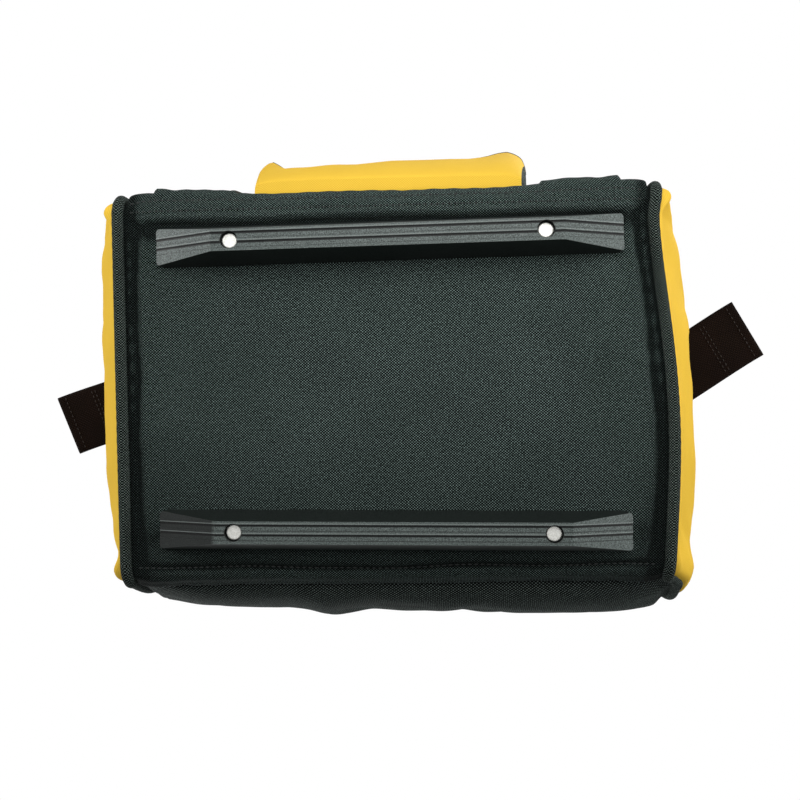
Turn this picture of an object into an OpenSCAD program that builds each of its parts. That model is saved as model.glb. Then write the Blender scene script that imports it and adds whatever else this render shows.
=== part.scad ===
// Soft tool bag with a stiff base, two skid runners, a front pocket and a zipped double flap.
// Millimetres. X runs along the bag, -Y is the pocket side, Z = 0 is the floor under the runners.

/* [Body] */
// Length of the base between the centres of the end pipings
base_l = 330; // [310:5:370]
// Depth of the base from the front seam to the rear seam
base_w = 235; // [225:5:265]
// Height of the body from the underside of the base to the shoulders
body_h = 195; // [185:5:225]
// Radius of the fold along the long sides of the base
base_r = 12; // [10:1:14]
// Radius of the shoulders at the mouth
shoulder_r = 28; // [24:1:32]
// Thickness of the front, rear and end panels
panel_t = 2; // [1.6:0.2:2.4]
// How far the stuffed front panel stands out
front_bulge = 13; // [8:1:18]
// How far the stuffed rear panel stands out
rear_bulge = 35; // [26:1:42]
// How far each stuffed end panel stands out
end_bulge = 33; // [26:1:40]
// Diameter of the covered piping round each end
piping_d = 7; // [6:0.5:8]
// Rise of the end outline between the shoulders
crown = 2.5; // [1:0.5:3]
// Thickness of the lining
lining_t = 1; // [0.6:0.2:1.2]

/* [Base] */
// Thickness of the base panel
base_t = 2.2; // [1.6:0.2:3]
// Thickness of the stiff board inside the base
board_t = 4; // [3:0.5:6]
// Distance from the board's long edge to the fold of the base
board_margin = 1.5; // [1:0.5:4]
// Distance from the board's short edge to the piping
board_end_gap = 4.5; // [2:0.5:8]
// Corner radius of the board
board_r = 10; // [4:1:20]

/* [Runners] */
// Height of each runner
runner_h = 20; // [16:1:24]
// Length of each runner where it meets the base
runner_l = 280; // [260:5:300]
// Width of each runner where it meets the base
runner_w = 24; // [22:1:28]
// Length of the foot that touches the floor
foot_l = 206; // [198:2:220]
// Width of the foot that touches the floor
foot_w = 13.2; // [12.6:0.2:16]
// Height of the runner's ends above the base
runner_end_h = 3; // [2:0.5:5]
// Distance from a long seam of the base to the middle of its runner
runner_inset = 31; // [27:1:36]
// Radius of a runner's corners at its ends
runner_r = 2; // [1:0.5:3]
// Width of each of the two channels along a runner
channel_w = 3.6; // [3:0.2:4]
// Depth of each channel along a runner
channel_d = 0.8; // [0.5:0.1:1.2]
// Spacing of the two channels
channel_pitch = 5.6; // [5:0.2:6]
// Distance between the two rivets of a runner
rivet_span = 185; // [170:1:190]
// Diameter of the recess round a rivet's head
recess_d = 10.4; // [10.4:0.2:12]
// Depth of the recess round a rivet's head
recess_depth = 6; // [6:1:13]
// Diameter of a rivet's head
head_d = 9.2; // [8:0.2:9.8]
// Height of a rivet's head
head_h = 2.2; // [1.6:0.2:3]
// Diameter of a rivet's shank
shank_d = 4; // [3:0.5:5]
// Clearance round a rivet's shank
shank_gap = 0.1; // [0.05:0.05:0.3]
// Diameter of the washer under the clinched end
washer_d = 12; // [10:0.5:16]
// Thickness of the washer
washer_t = 1; // [0.8:0.2:1.6]
// Diameter of the clinched end
clinch_d = 7; // [6:0.5:9]
// Height of the clinched end
clinch_h = 1.2; // [0.8:0.2:2]

/* [Pocket] */
// Width of the front pocket at its hem
pocket_w = 184; // [160:2:190]
// Width of the front pocket at its foot
pocket_low_w = 166; // [150:2:184]
// Height of the pocket's hem above the floor
pocket_z = 107; // [90:1:130]
// How far the pocket stands out at its bottom
pocket_low_d = 10; // [8:1:16]
// How far the pocket stands out at its hem
pocket_top_d = 28; // [22:1:36]
// Thickness of the pocket's cloth
pocket_t = 1.6; // [1.2:0.2:2]
// Height of the bound edge on the hem
binding_h = 2.5; // [2:0.5:4]
// Thickness of the bound edge on the hem
binding_t = 3; // [2:0.2:4]

/* [Handles] */
// Width of the webbing straps
strap_w = 50; // [38:1:50]
// Thickness of the webbing
strap_t = 3; // [2:0.5:3.5]
// Distance between the middles of a handle's two straps
strap_span = 242; // [236:2:244]
// Rise of a handle above its straps
handle_rise = 146; // [130:2:160]
// Lean of a resting handle towards the zip, in degrees
handle_lean = 4; // [2:1:5]
// Width of the folded webbing inside the grip
core_w = 28; // [24:1:30]
// Thickness of the folded webbing inside the grip
core_t = 5; // [4:0.5:6]
// Length of the padded grip
grip_l = 130; // [110:2:140]
// Width of the padded grip
grip_w = 36; // [34:1:40]
// Thickness of the padded grip
grip_t = 18; // [14:1:22]

/* [Zip] */
// Height of the zip above the shoulders
zip_rise = 10; // [9.5:0.5:12]
// Width of each zip tape
tape_w = 14; // [12:1:16]
// Thickness of the zip tape
tape_t = 0.8; // [0.6:0.1:1]
// Fall of each tape from the chain to its outer edge
tape_fall = 3.1; // [2.8:0.1:3.4]
// Width of each half of the chain
chain_w = 2.2; // [1.8:0.1:2.6]
// Height of the chain
chain_h = 2.4; // [2:0.1:2.6]
// Gap between the two halves of the chain
chain_gap = 1.6; // [1.4:0.1:2]
// Length of the zip past each end piping, up to the tab's hinge
tail_l = 39; // [38:1:46]
// Thickness of the flap panels
flap_t = 2; // [1.6:0.2:2.4]
// Distance from the zip's middle to the cloth edge of a flap
flap_edge = 8.5; // [8:0.5:10]
// Length of the slider
slider_l = 17; // [15:1:19]
// Width of the slider
slider_w = 11.2; // [10.4:0.2:12]
// Thickness of the slider's plates
plate_t = 1.2; // [1:0.1:1.4]
// Thickness of the slider's neck
neck_t = 1; // [0.8:0.1:1.2]
// Diameter of the bar that carries the pull
bar_d = 1.6; // [1.4:0.1:1.8]
// Length of the pull from its bar
pull_l = 20; // [16:1:21]
// Width of the pull
pull_w = 9; // [7:0.5:10]
// Thickness of the pull
pull_t = 1.4; // [1.2:0.1:1.6]

/* [Tabs] */
// Length of each end tab from its hinge
tab_l = 84; // [70:1:90]
// Thickness of the doubled webbing of a tab
tab_t = 4.6; // [4:0.2:5]
// Turn of the left tab in plan, in degrees
left_tab_turn = 22; // [0:1:30]
// Turn of the right tab in plan, in degrees
right_tab_turn = 29; // [0:1:32]
// How far the tabs' middles lie from the zip's line
tab_shift = 6; // [0:1:8]
// Extra thickness of the fold at the tip of a tab
tab_fold = 1.6; // [0:0.2:2]

/* [Hidden] */

// Gap between soft pieces that lie side by side
soft_gap = 0.3;
// Gap between flat pieces that are sewn face to face
lap_gap = 0.05;
// Gap between a strap and the curved panel under it
strap_gap = 0.7;
// Running clearance of the pull on its bar, on the radius
bar_gap = 0.075;
// Side clearance of moving pieces
side_gap = 0.3;

half_w = base_w / 2;
base_z = runner_h;
seam_z = base_z + base_r;
top_z = base_z + body_h;
shoulder_z = top_z - shoulder_r;
mouth_y = half_w - shoulder_r;
piping_x = base_l / 2;
piping_r = piping_d / 2;
panel_x = piping_x - piping_r - soft_gap;
end_x = piping_x + piping_r + soft_gap;

board_z = base_z + base_t + lap_gap;
board_top = board_z + board_t;
board_l = base_l - piping_d - 2 * board_end_gap;
board_w = base_w - 2 * base_r - 2 * board_margin;
runner_y = half_w - runner_inset;
bore_d = shank_d + 2 * shank_gap;
washer_z = board_top + lap_gap;
clinch_z = washer_z + washer_t + lap_gap;

side_run = shoulder_z - seam_z;
shoulder_run = shoulder_r * PI / 2;
wall_run = side_run + shoulder_run;
// Stretch of the wall under the mouth that doesn't stand out
flat_run = 14;
puff_run = wall_run - flat_run;
side_steps = 10;
rear_strap_start = 6;
shoulder_steps = 5;
wall_steps = 14;
side_marks = [for (i = [0 : side_steps]) side_run * i / side_steps];
rear_marks = [for (i = [rear_strap_start : side_steps]) side_marks[i]];
wall_marks = concat(side_marks, [for (i = [1 : shoulder_steps]) side_run + shoulder_run * i / shoulder_steps]);
corner_steps = 4;
edge_steps = 6;
dome_steps = 7;
dome_pole = 0.06;
middle_z = base_z + body_h / 2;

pocket_gap = 0.5;
pocket_low_z = seam_z + 1;
pocket_floor_t = 2;
pocket_steps = 6;
round_steps = 14;

strap_x = strap_span / 2;
handle_power = 2.6;
leg_steps = 11;
grip_steps = 8;
grip_turn = acos(pow(grip_l / strap_span, handle_power / 2));
handle_marks = concat(
  [for (i = [0 : leg_steps]) grip_turn * i / leg_steps],
  [for (i = [1 : grip_steps]) grip_turn + (180 - 2 * grip_turn) * i / grip_steps],
  [for (i = [1 : leg_steps]) 180 - grip_turn + grip_turn * i / leg_steps]
);
grip_marks = [for (i = [0 : grip_steps]) grip_turn + (180 - 2 * grip_turn) * i / grip_steps];
twist_h = 85;
gather_share = 0.6;
grip_sides = 16;
grip_power = 4;
slot_power = 10;
slot_corner = pow(cos(45), 2 / slot_power);
core_gap = 0.4;

zip_z = top_z + zip_rise;
chain_y = chain_gap / 2 + chain_w;
tape_in = chain_y + lap_gap;
tape_out = tape_in + tape_w;
hinge_y = mouth_y + 1.5;
hinge_z = top_z + soft_gap;
flap_x = panel_x - 2.2;
tape_x = panel_x - 1.2;
tail_gap = 0.4;
tab_x = piping_x + tail_l;
tab_r = tab_t / 2;
tail_end = tab_x - tab_r - soft_gap;
plate_gap = 0.6;
plate_top = zip_z + chain_h / 2 + plate_gap + plate_t;
plate_low = zip_z - chain_h / 2 - plate_gap - plate_t;
bar_x = 2;
slider_x = (tape_x + tail_gap + tail_end) / 2 - 3;
eye_r = 1.9;
eye_w = 4.2;
ear_t = 1;
bar_z = plate_top + side_gap + eye_r;

function smooth(t) = let (c = min(max(t, 0), 1)) c * c * (3 - 2 * c);
function mix(a, b, t) = a + (b - a) * t;
function sign_pow(v, p) = sign(v) * pow(abs(v), p);
function middle_of(points) = [for (p = points) 1] * points / len(points);

// Share of a panel's bulge at x along the bag and at a run up the wall from the seam
function along_share(x) = 1 - pow(min(abs(x) / panel_x, 1), 6);
function up_share(run) = sin(180 * pow(min(max(run / puff_run, 0), 1), 0.8));

// Point [y, z] of the rear wall at a run up from the seam, moved out by a distance along its normal
function wall_at(run, out) = run <= side_run
  ? [half_w + out, seam_z + run]
  : let (turn = (run - side_run) / shoulder_r * 180 / PI)
    [mouth_y + (shoulder_r + out) * cos(turn), shoulder_z + (shoulder_r + out) * sin(turn)];

// Closed ring at x through a sheet on the wall, between two distances from the skin line
function wall_ring(bulge, x, low, high, marks) = let (puff = bulge * along_share(x), n = len(marks)) concat(
  [for (i = [0 : n - 1]) let (p = wall_at(marks[i], puff * up_share(marks[i]) + high)) [x, p[0], p[1]]],
  [for (i = [n - 1 : -1 : 0]) let (p = wall_at(marks[i], puff * up_share(marks[i]) + low)) [x, p[0], p[1]]]
);

function arc(y, z, r, from, to) = [for (i = [0 : corner_steps])
  let (a = from + (to - from) * i / corner_steps) [y + r * cos(a), z + r * sin(a)]];
function between(a, b, steps) = [for (i = [1 : steps - 1]) a + (b - a) * i / steps];
function crown_at(y) = crown * (1 - pow(min(abs(y) / mouth_y, 1), 2));

// Outline of the bag's end in [y, z], set in by a distance, clockwise from +X
function end_outline(inset) = concat(
  arc(-half_w + base_r, seam_z, base_r - inset, 270, 180),
  between([-half_w + inset, seam_z], [-half_w + inset, shoulder_z], edge_steps),
  arc(-mouth_y, shoulder_z, shoulder_r - inset, 180, 90),
  [for (p = between([-mouth_y, top_z - inset], [mouth_y, top_z - inset], edge_steps)) p + [0, crown_at(p[0])]],
  arc(mouth_y, shoulder_z, shoulder_r - inset, 90, 0),
  between([half_w - inset, shoulder_z], [half_w - inset, seam_z], edge_steps),
  arc(half_w - base_r, seam_z, base_r - inset, 0, -90),
  between([half_w - base_r, base_z + inset], [-half_w + base_r, base_z + inset], edge_steps)
);

// Solid through closed rings of points. Its ends are flat faces, strips across a folded sheet's ring,
// or fans round the ring's middle; a wrapped loft joins its last ring to its first. The back of a sheet
// is split along the same diagonals as its face, so that sheets nest
module loft(rings, ends = "flat") {
  n = len(rings[0]);
  m = len(rings);
  last = (m - 1) * n;
  sides = [for (i = [0 : ends == "wrap" ? m - 1 : m - 2], j = [0 : n - 1])
    let (a = i * n + j, b = i * n + (j + 1) % n, c = ((i + 1) % m) * n + (j + 1) % n, d = ((i + 1) % m) * n + j,
      back = ends == "strip" && j >= n / 2 || ends == "fan" && i >= m / 2)
    each back ? [[a, d, b], [b, d, c]] : [[a, c, b], [a, d, c]]];
  caps = ends == "flat" ? [[for (j = [0 : n - 1]) j], [for (j = [n - 1 : -1 : 0]) last + j]]
    : ends == "strip" ? [for (j = [0 : n / 2 - 2]) each [
      [j, j + 1, n - 2 - j, n - 1 - j], [last + n - 1 - j, last + n - 2 - j, last + j + 1, last + j]]]
    : ends == "fan" ? [for (j = [0 : n - 1]) each [
      [m * n, j, (j + 1) % n], [m * n + 1, last + (j + 1) % n, last + j]]]
    : [];
  poles = ends == "fan" ? [middle_of(rings[0]), middle_of(rings[m - 1])] : [];
  polyhedron(points = concat([for (ring = rings) each ring], poles), faces = concat(sides, caps));
}

// Sheet on the rear wall from x0 to x1, between two distances from the skin line
module wall_sheet(bulge, x0, x1, steps, low, high, marks) {
  loft([for (i = [0 : steps]) wall_ring(bulge, mix(x0, x1, i / steps), low, high, marks)], "strip");
}

// How far the right end stands out at a place [y, z] that lies at a share of the way from its middle to its edge
function end_puff(q, share) = end_bulge * (1 - pow(share, 10))
  * (1 - pow(abs(q[0]) / half_w, 5)) * (1 - pow(abs(q[1] - middle_z) / (body_h / 2 + crown), 3));

// Domed sheet at the right end, on an outline set in by a distance
module end_sheet(inset, x, thickness) {
  outline = end_outline(inset);
  middle = [0, middle_z];
  shares = [for (i = [0 : dome_steps]) mix(dome_pole, 1, sin(90 * i / dome_steps))];
  outer = [for (s = shares) [for (p = outline)
    let (q = middle + (p - middle) * s) [x + thickness + end_puff(q, s), q[0], q[1]]]];
  inner = [for (i = [dome_steps : -1 : 0]) let (s = shares[i]) [for (p = outline)
    let (q = middle + (p - middle) * s) [x + end_puff(q, s), q[0], q[1]]]];
  loft(concat(outer, inner), "fan");
}

// Round piping along the right end's outline
module end_piping() {
  path = end_outline(0);
  n = len(path);
  loft([for (i = [0 : n - 1])
    let (along = path[(i + 1) % n] - path[(i + n - 1) % n], out = [-along[1], along[0]] / norm(along))
    [for (k = [0 : 7]) let (a = 360 * (k + 0.5) / 8)
      [piping_x + piping_r * sin(a), path[i][0] + piping_r * cos(a) * out[0], path[i][1] + piping_r * cos(a) * out[1]]]
  ], "wrap");
}

// Flat shape with four rounded corners
module round_plate(l, w, r, t) {
  corners = [[l / 2 - r, w / 2 - r, 0], [r - l / 2, w / 2 - r, 90], [r - l / 2, r - w / 2, 180], [l / 2 - r, r - w / 2, 270]];
  linear_extrude(height = t) polygon([for (c = corners, i = [0 : corner_steps])
    let (a = c[2] + 90 * i / corner_steps) [c[0] + r * cos(a), c[1] + r * sin(a)]]);
}

module rivet_places() {
  for (x = [-1, 1], y = [-1, 1]) translate([x * rivet_span / 2, y * runner_y, 0]) children();
}

module rivet_bores(low, high) {
  rivet_places() translate([0, 0, low - 1]) cylinder(d = bore_d, h = high - low + 2, $fn = 32);
}

// Extrusion along X of an outline given in [y, z]
module along_x(length) {
  translate([-length / 2, 0, 0]) rotate([90, 0, 90]) linear_extrude(height = length) children();
}

module base_panel() {
  fold = arc(half_w - base_r, seam_z, base_r, -90, 0);
  fold_in = arc(half_w - base_r, seam_z, base_r - base_t, 0, -90);
  right = concat(fold, fold_in);
  left = [for (i = [len(right) - 1 : -1 : 0]) [-right[i][0], right[i][1]]];
  color("#2b3030") difference() {
    along_x(2 * panel_x) polygon(concat(right, left));
    rivet_bores(base_z, base_z + base_t);
  }
}

module base_board() {
  color("#3a3a3a") difference() {
    translate([0, 0, board_z]) round_plate(board_l, board_w, board_r, board_t);
    rivet_bores(board_z, board_top);
  }
}

// Runner under the base, centred on X, with its foot on Z = 0
module runner() {
  half_l = runner_l / 2;
  ramp_z = runner_h - runner_end_h;
  side = [[-half_l, runner_h], [-half_l, ramp_z], [-foot_l / 2, 0], [foot_l / 2, 0], [half_l, ramp_z], [half_l, runner_h]];
  section = [[-foot_w / 2, 0], [foot_w / 2, 0], [runner_w / 2, runner_h], [-runner_w / 2, runner_h]];
  channel = [[-half_l - 1, ramp_z + channel_d], [-half_l, ramp_z + channel_d], [-foot_l / 2, channel_d],
    [foot_l / 2, channel_d], [half_l, ramp_z + channel_d], [half_l + 1, ramp_z + channel_d],
    [half_l + 1, -1], [-half_l - 1, -1]];
  difference() {
    intersection() {
      along_x(runner_l) polygon(section);
      translate([0, runner_w, 0]) rotate([90, 0, 0]) linear_extrude(height = 2 * runner_w) polygon(side);
      linear_extrude(height = runner_h) offset(r = runner_r, $fn = 32)
        square([runner_l - 2 * runner_r, runner_w - 2 * runner_r], center = true);
    }
    for (k = [-1, 1]) translate([0, k * channel_pitch / 2 + channel_w / 2, 0])
      rotate([90, 0, 0]) linear_extrude(height = channel_w) polygon(channel);
    for (x = [-1, 1]) translate([x * rivet_span / 2, 0, 0]) {
      translate([0, 0, -1]) cylinder(d = recess_d, h = recess_depth + 1, $fn = 48);
      cylinder(d = bore_d, h = runner_h + 1, $fn = 32);
    }
  }
}

module front_runner() {
  color("#6b7475") translate([0, -runner_y, 0]) runner();
}

module rear_runner() {
  color("#6b7475") translate([0, runner_y, 0]) runner();
}

// Rivet head in its recess, its shank up through the base, and its clinched end on the washer
module rivet() {
  edge = 0.5;
  head_z = recess_depth - lap_gap;
  rotate_extrude($fn = 48) polygon([
    [0, head_z - head_h], [head_d / 2 - edge, head_z - head_h], [head_d / 2, head_z - head_h + edge],
    [head_d / 2, head_z], [shank_d / 2, head_z], [shank_d / 2, clinch_z], [clinch_d / 2, clinch_z],
    [clinch_d / 2 - edge, clinch_z + clinch_h], [0, clinch_z + clinch_h]
  ]);
}

module runner_rivets() {
  color("#c9c9c4") rivet_places() rivet();
}

module rivet_washers() {
  color("#b4b4b0") rivet_places() translate([0, 0, washer_z]) difference() {
    cylinder(d = washer_d, h = washer_t, $fn = 48);
    translate([0, 0, -1]) cylinder(d = bore_d, h = washer_t + 2, $fn = 32);
  }
}

module front_panel() {
  color("#2b3030") mirror([0, 1, 0]) wall_sheet(front_bulge, -panel_x, panel_x, wall_steps, -panel_t, 0, wall_marks);
}

module rear_panel() {
  color("#2b3030") wall_sheet(rear_bulge, -panel_x, panel_x, wall_steps, -panel_t, 0, wall_marks);
}

module right_end_panel() {
  color("#f2bf38") end_sheet(0, end_x, panel_t);
}

module left_end_panel() {
  color("#f2bf38") mirror([1, 0, 0]) end_sheet(0, end_x, panel_t);
}

module right_piping() {
  color("#1d2020") end_piping();
}

module left_piping() {
  color("#1d2020") mirror([1, 0, 0]) end_piping();
}

module side_lining(bulge) {
  low = -panel_t - soft_gap - lining_t;
  wall_sheet(bulge, -panel_x, panel_x, wall_steps, low, low + lining_t, wall_marks);
}

module front_lining() {
  color("#55595a") mirror([0, 1, 0]) side_lining(front_bulge);
}

module rear_lining() {
  color("#55595a") side_lining(rear_bulge);
}

module end_lining() {
  end_sheet(piping_r + soft_gap, end_x - soft_gap - lining_t, lining_t);
}

module right_end_lining() {
  color("#55595a") end_lining();
}

module left_end_lining() {
  color("#55595a") mirror([1, 0, 0]) end_lining();
}

// Distance of the front wall's skin from the middle, at x and z below the shoulder
function front_skin(x, z) = half_w + front_bulge * along_share(x) * up_share(z - seam_z);

// Half the pocket's width at height z
function pocket_half(z) = mix(pocket_low_w, pocket_w, (z - pocket_low_z) / (pocket_z - pocket_low_z)) / 2;

// Distance of the pocket's face from the middle, for a turn round its outline at height z, set in by t
function pocket_point(turn, z, t) = let (
    side = front_skin(pocket_half(z), z) + pocket_gap,
    rise = (z - pocket_low_z) / (pocket_z - pocket_low_z),
    depth = mix(pocket_low_d, pocket_top_d, pow(min(max(rise, 0), 1), 0.7)) - t
  ) [(pocket_half(z) - t) * sign_pow(-cos(turn), 0.5), -side - depth * pow(sin(turn), 0.5), z];

// Closed ring round the pocket at height z: its face, then its back along the front panel
function pocket_ring(z, t) = concat(
  [for (i = [0 : round_steps]) pocket_point(180 * i / round_steps, z, t)],
  [for (i = [1 : wall_steps - 1]) let (x = mix(1, -1, i / wall_steps) * (pocket_half(z) - t)) [x, -front_skin(x, z) - pocket_gap - t, z]]
);

module front_pocket() {
  heights = [for (i = [0 : pocket_steps]) mix(pocket_low_z, pocket_z, i / pocket_steps)];
  inner = [for (i = [pocket_steps : -1 : 0]) mix(pocket_low_z + pocket_floor_t, pocket_z, i / pocket_steps)];
  color("#f2bf38") loft(concat([for (z = heights) pocket_ring(z, 0)], [for (z = inner) pocket_ring(z, pocket_t)]));
}

// Bound edge that sits on the pocket's hem, along its face and sides
module pocket_binding() {
  path = [for (i = [0 : round_steps]) pocket_point(180 * i / round_steps, pocket_z, pocket_t / 2)];
  low = pocket_z + lap_gap;
  color("#1d2020") loft([for (i = [0 : round_steps])
    let (
      along = path[min(i + 1, round_steps)] - path[max(i - 1, 0)],
      out = [along[1], -along[0], 0] / norm(along) * binding_t / 2,
      p = [path[i][0], path[i][1], low],
      up = [0, 0, binding_h]
    ) [p + out, p + out + up, p - out + up, p - out]]);
}

// Webbing strap sewn up the wall at x, over the given marks
module wall_strap(bulge, x, marks) {
  wall_sheet(bulge, x - strap_w / 2, x + strap_w / 2, 5, strap_gap, strap_gap + strap_t, marks);
}

module front_left_strap() {
  color("#161414") mirror([0, 1, 0]) wall_strap(front_bulge, -strap_x, side_marks);
}

module front_right_strap() {
  color("#161414") mirror([0, 1, 0]) wall_strap(front_bulge, strap_x, side_marks);
}

module rear_left_strap() {
  color("#161414") wall_strap(rear_bulge, -strap_x, rear_marks);
}

module rear_right_strap() {
  color("#161414") wall_strap(rear_bulge, strap_x, rear_marks);
}

// Outer face of a strap at its top, where its handle folds
function fold_y(bulge) = half_w + strap_gap + strap_t
  + bulge * up_share(side_run) * max(along_share(strap_x - strap_w / 2), along_share(strap_x + strap_w / 2));

// Middle of the handle's webbing in [x, height] for a turn over its arch
function arch_at(turn) = [strap_x * sign_pow(cos(turn), 2 / handle_power), handle_rise * pow(sin(turn), 2 / handle_power)];
function arch_out(turn) = let (step = 1, a = arch_at(max(turn - step, 0)), b = arch_at(min(turn + step, 180)), d = b - a)
  turn == 0 ? [1, 0] : turn == 180 ? [-1, 0] : [d[1], -d[0]] / norm(d);

// Point of the arch's section: across along Y or the outward normal as the webbing twists
function arch_point(turn, across, thick) = let (
    p = arch_at(turn), out = arch_out(turn), twist = -90 * smooth(p[1] / twist_h),
    x_part = across * cos(twist) - thick * sin(twist), y_part = across * sin(twist) + thick * cos(twist)
  ) [p[0] + out[0] * x_part, y_part, p[1] + out[1] * x_part];

// Places the rear handle's own frame on its fold, leaning towards the zip
module on_fold(bulge) {
  translate([0, fold_y(bulge), shoulder_z]) rotate([handle_lean, 0, 0]) translate([0, -strap_t / 2, soft_gap]) children();
}

module handle_webbing() {
  loft([for (turn = handle_marks)
    let (gather = smooth(arch_at(turn)[1] / (gather_share * handle_rise)), w = mix(strap_w, core_w, gather) / 2, t = mix(strap_t, core_t, gather) / 2)
    [arch_point(turn, w, t), arch_point(turn, -w, t), arch_point(turn, -w, -t), arch_point(turn, w, -t)]]);
}

// Padded sleeve round the folded webbing
module grip_sleeve() {
  slot_w = (core_w / 2 + core_gap) / slot_corner;
  slot_t = (core_t / 2 + core_gap) / slot_corner;
  loft([for (k = [0 : grip_sides - 1])
    let (a = 360 * k / grip_sides, c = cos(a), s = sin(a),
      out = [grip_w / 2 * sign_pow(c, 2 / grip_power), grip_t / 2 * sign_pow(s, 2 / grip_power)],
      in = [slot_w * sign_pow(c, 2 / slot_power), slot_t * sign_pow(s, 2 / slot_power)])
    concat(
      [for (i = [0 : grip_steps]) let (p = arch_point(grip_marks[i], 0, 0), n = arch_out(grip_marks[i])) p + [n[0] * out[1], out[0], n[1] * out[1]]],
      [for (i = [grip_steps : -1 : 0]) let (p = arch_point(grip_marks[i], 0, 0), n = arch_out(grip_marks[i])) p + [n[0] * in[1], in[0], n[1] * in[1]]]
    )], "wrap");
}

module rear_handle() {
  color("#161414") on_fold(rear_bulge) handle_webbing();
}

module rear_grip() {
  color("#202324") on_fold(rear_bulge) grip_sleeve();
}

module front_handle() {
  color("#161414") mirror([0, 1, 0]) on_fold(front_bulge) handle_webbing();
}

module front_grip() {
  color("#202324") mirror([0, 1, 0]) on_fold(front_bulge) grip_sleeve();
}

// Height of the tape's upper face at a distance from the zip's middle
function tape_top(y) = zip_z + tape_t / 2 - tape_fall * (y - tape_in) / tape_w;

// Rear half of the zip's tape, between two places along X
module tape(x0, x1) {
  translate([(x0 + x1) / 2, 0, 0]) along_x(x1 - x0) polygon([
    [tape_in, tape_top(tape_in) - tape_t], [tape_out, tape_top(tape_out) - tape_t],
    [tape_out, tape_top(tape_out)], [tape_in, tape_top(tape_in)]
  ]);
}

// Rear half of the zip's chain, between two places along X
module chain(x0, x1) {
  translate([x0, chain_gap / 2, zip_z - chain_h / 2]) cube([x1 - x0, chain_w, chain_h]);
}

module both_halves() {
  children();
  mirror([0, 1, 0]) children();
}

module right_tail_tape() {
  color("#191919") both_halves() tape(tape_x + tail_gap, tail_end);
}

module left_tail_tape() {
  color("#191919") mirror([1, 0, 0]) both_halves() tape(tape_x + tail_gap, tail_end);
}

module right_tail_chain() {
  color("#2a2a2a") both_halves() chain(tape_x + tail_gap, tail_end);
}

module left_tail_chain() {
  color("#2a2a2a") mirror([1, 0, 0]) both_halves() chain(tape_x + tail_gap, tail_end);
}

// Rear flap from its fold on the shoulder to the zip, lapped over the tape
module flap() {
  fold_flat = 3;
  low = [[flap_edge, tape_top(flap_edge) + lap_gap], [tape_out + soft_gap, tape_top(tape_out) + lap_gap],
    [hinge_y - fold_flat, hinge_z], [hinge_y, hinge_z]];
  high = [for (i = [3 : -1 : 0]) low[i] + [0, flap_t]];
  along_x(2 * flap_x) polygon(concat(low, high));
}

module rear_flap_panel() {
  color("#2b3030") flap();
}

module front_flap_panel() {
  color("#2b3030") mirror([0, 1, 0]) flap();
}

module rear_zip_tape() {
  color("#191919") tape(-tape_x, tape_x);
}

module front_zip_tape() {
  color("#191919") mirror([0, 1, 0]) tape(-tape_x, tape_x);
}

module rear_zip_chain() {
  color("#2a2a2a") chain(-tape_x, tape_x);
}

module front_zip_chain() {
  color("#2a2a2a") mirror([0, 1, 0]) chain(-tape_x, tape_x);
}

// Slider on the right tail: two plates, the neck between the chains, and the ears and bar of the pull
module zip_slider() {
  ear_y = eye_w / 2 + side_gap;
  ear_l = 4;
  ear_top = bar_z + bar_d / 2 + 0.8;
  neck_l = 6;
  color("#8d8f8f") translate([slider_x, 0, 0]) {
    translate([0, 0, plate_top - plate_t]) round_plate(slider_l, slider_w, 3, plate_t);
    translate([0, 0, plate_low]) round_plate(slider_l, slider_w, 3, plate_t);
    translate([-neck_l / 2, -neck_t / 2, plate_low + plate_t - 0.1])
      cube([neck_l, neck_t, plate_top - plate_low - 2 * plate_t + 0.2]);
    for (y = [-ear_y - ear_t, ear_y]) translate([bar_x - ear_l / 2, y, plate_top - 0.1])
      cube([ear_l, ear_t, ear_top - plate_top + 0.1]);
    translate([bar_x, ear_y + ear_t / 2, bar_z]) rotate([90, 0, 0]) cylinder(d = bar_d, h = 2 * ear_y + ear_t, $fn = 32);
  }
}

// Pull that swings on the slider's bar and lies towards the right end
module zip_pull() {
  eye_d = bar_d + 2 * bar_gap;
  arm_w = 3.6;
  arm_l = 7;
  plate_l = pull_l - arm_l + 1;
  color("#8d8f8f") translate([slider_x + bar_x, 0, bar_z]) difference() {
    union() {
      translate([0, eye_w / 2, 0]) rotate([90, 0, 0]) cylinder(r = eye_r, h = eye_w, $fn = 32);
      translate([0, -arm_w / 2, -eye_r]) cube([arm_l, arm_w, pull_t]);
      translate([pull_l - plate_l / 2, 0, -eye_r]) round_plate(plate_l, pull_w, 2.5, pull_t);
    }
    translate([0, eye_w, 0]) rotate([90, 0, 0]) cylinder(d = eye_d, h = 2 * eye_w, $fn = 32);
  }
}

// Doubled webbing past the zip's end: a round hinge edge, a strap turned in plan, and a thick folded tip
module end_tab(turn) {
  tip_r = tab_r + tab_fold / 2;
  root_w = strap_w / cos(turn);
  translate([tab_x, -tab_shift, zip_z]) {
    translate([0, root_w / 2, 0]) rotate([90, 0, 0]) cylinder(r = tab_r, h = root_w, $fn = 32);
    intersection() {
      rotate([0, 0, -turn]) {
        translate([-strap_w, -strap_w / 2, -tab_r]) cube([tab_l + strap_w - tip_r, strap_w, tab_t]);
        translate([tab_l - tip_r, strap_w / 2, 0]) rotate([90, 0, 0]) cylinder(r = tip_r, h = strap_w, $fn = 32);
      }
      translate([0, -2 * strap_w, -strap_w]) cube([2 * tab_l, 4 * strap_w, 2 * strap_w]);
    }
  }
}

module right_tab() {
  color("#120c0b") end_tab(right_tab_turn);
}

module left_tab() {
  color("#120c0b") mirror([1, 0, 0]) end_tab(-left_tab_turn);
}

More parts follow.
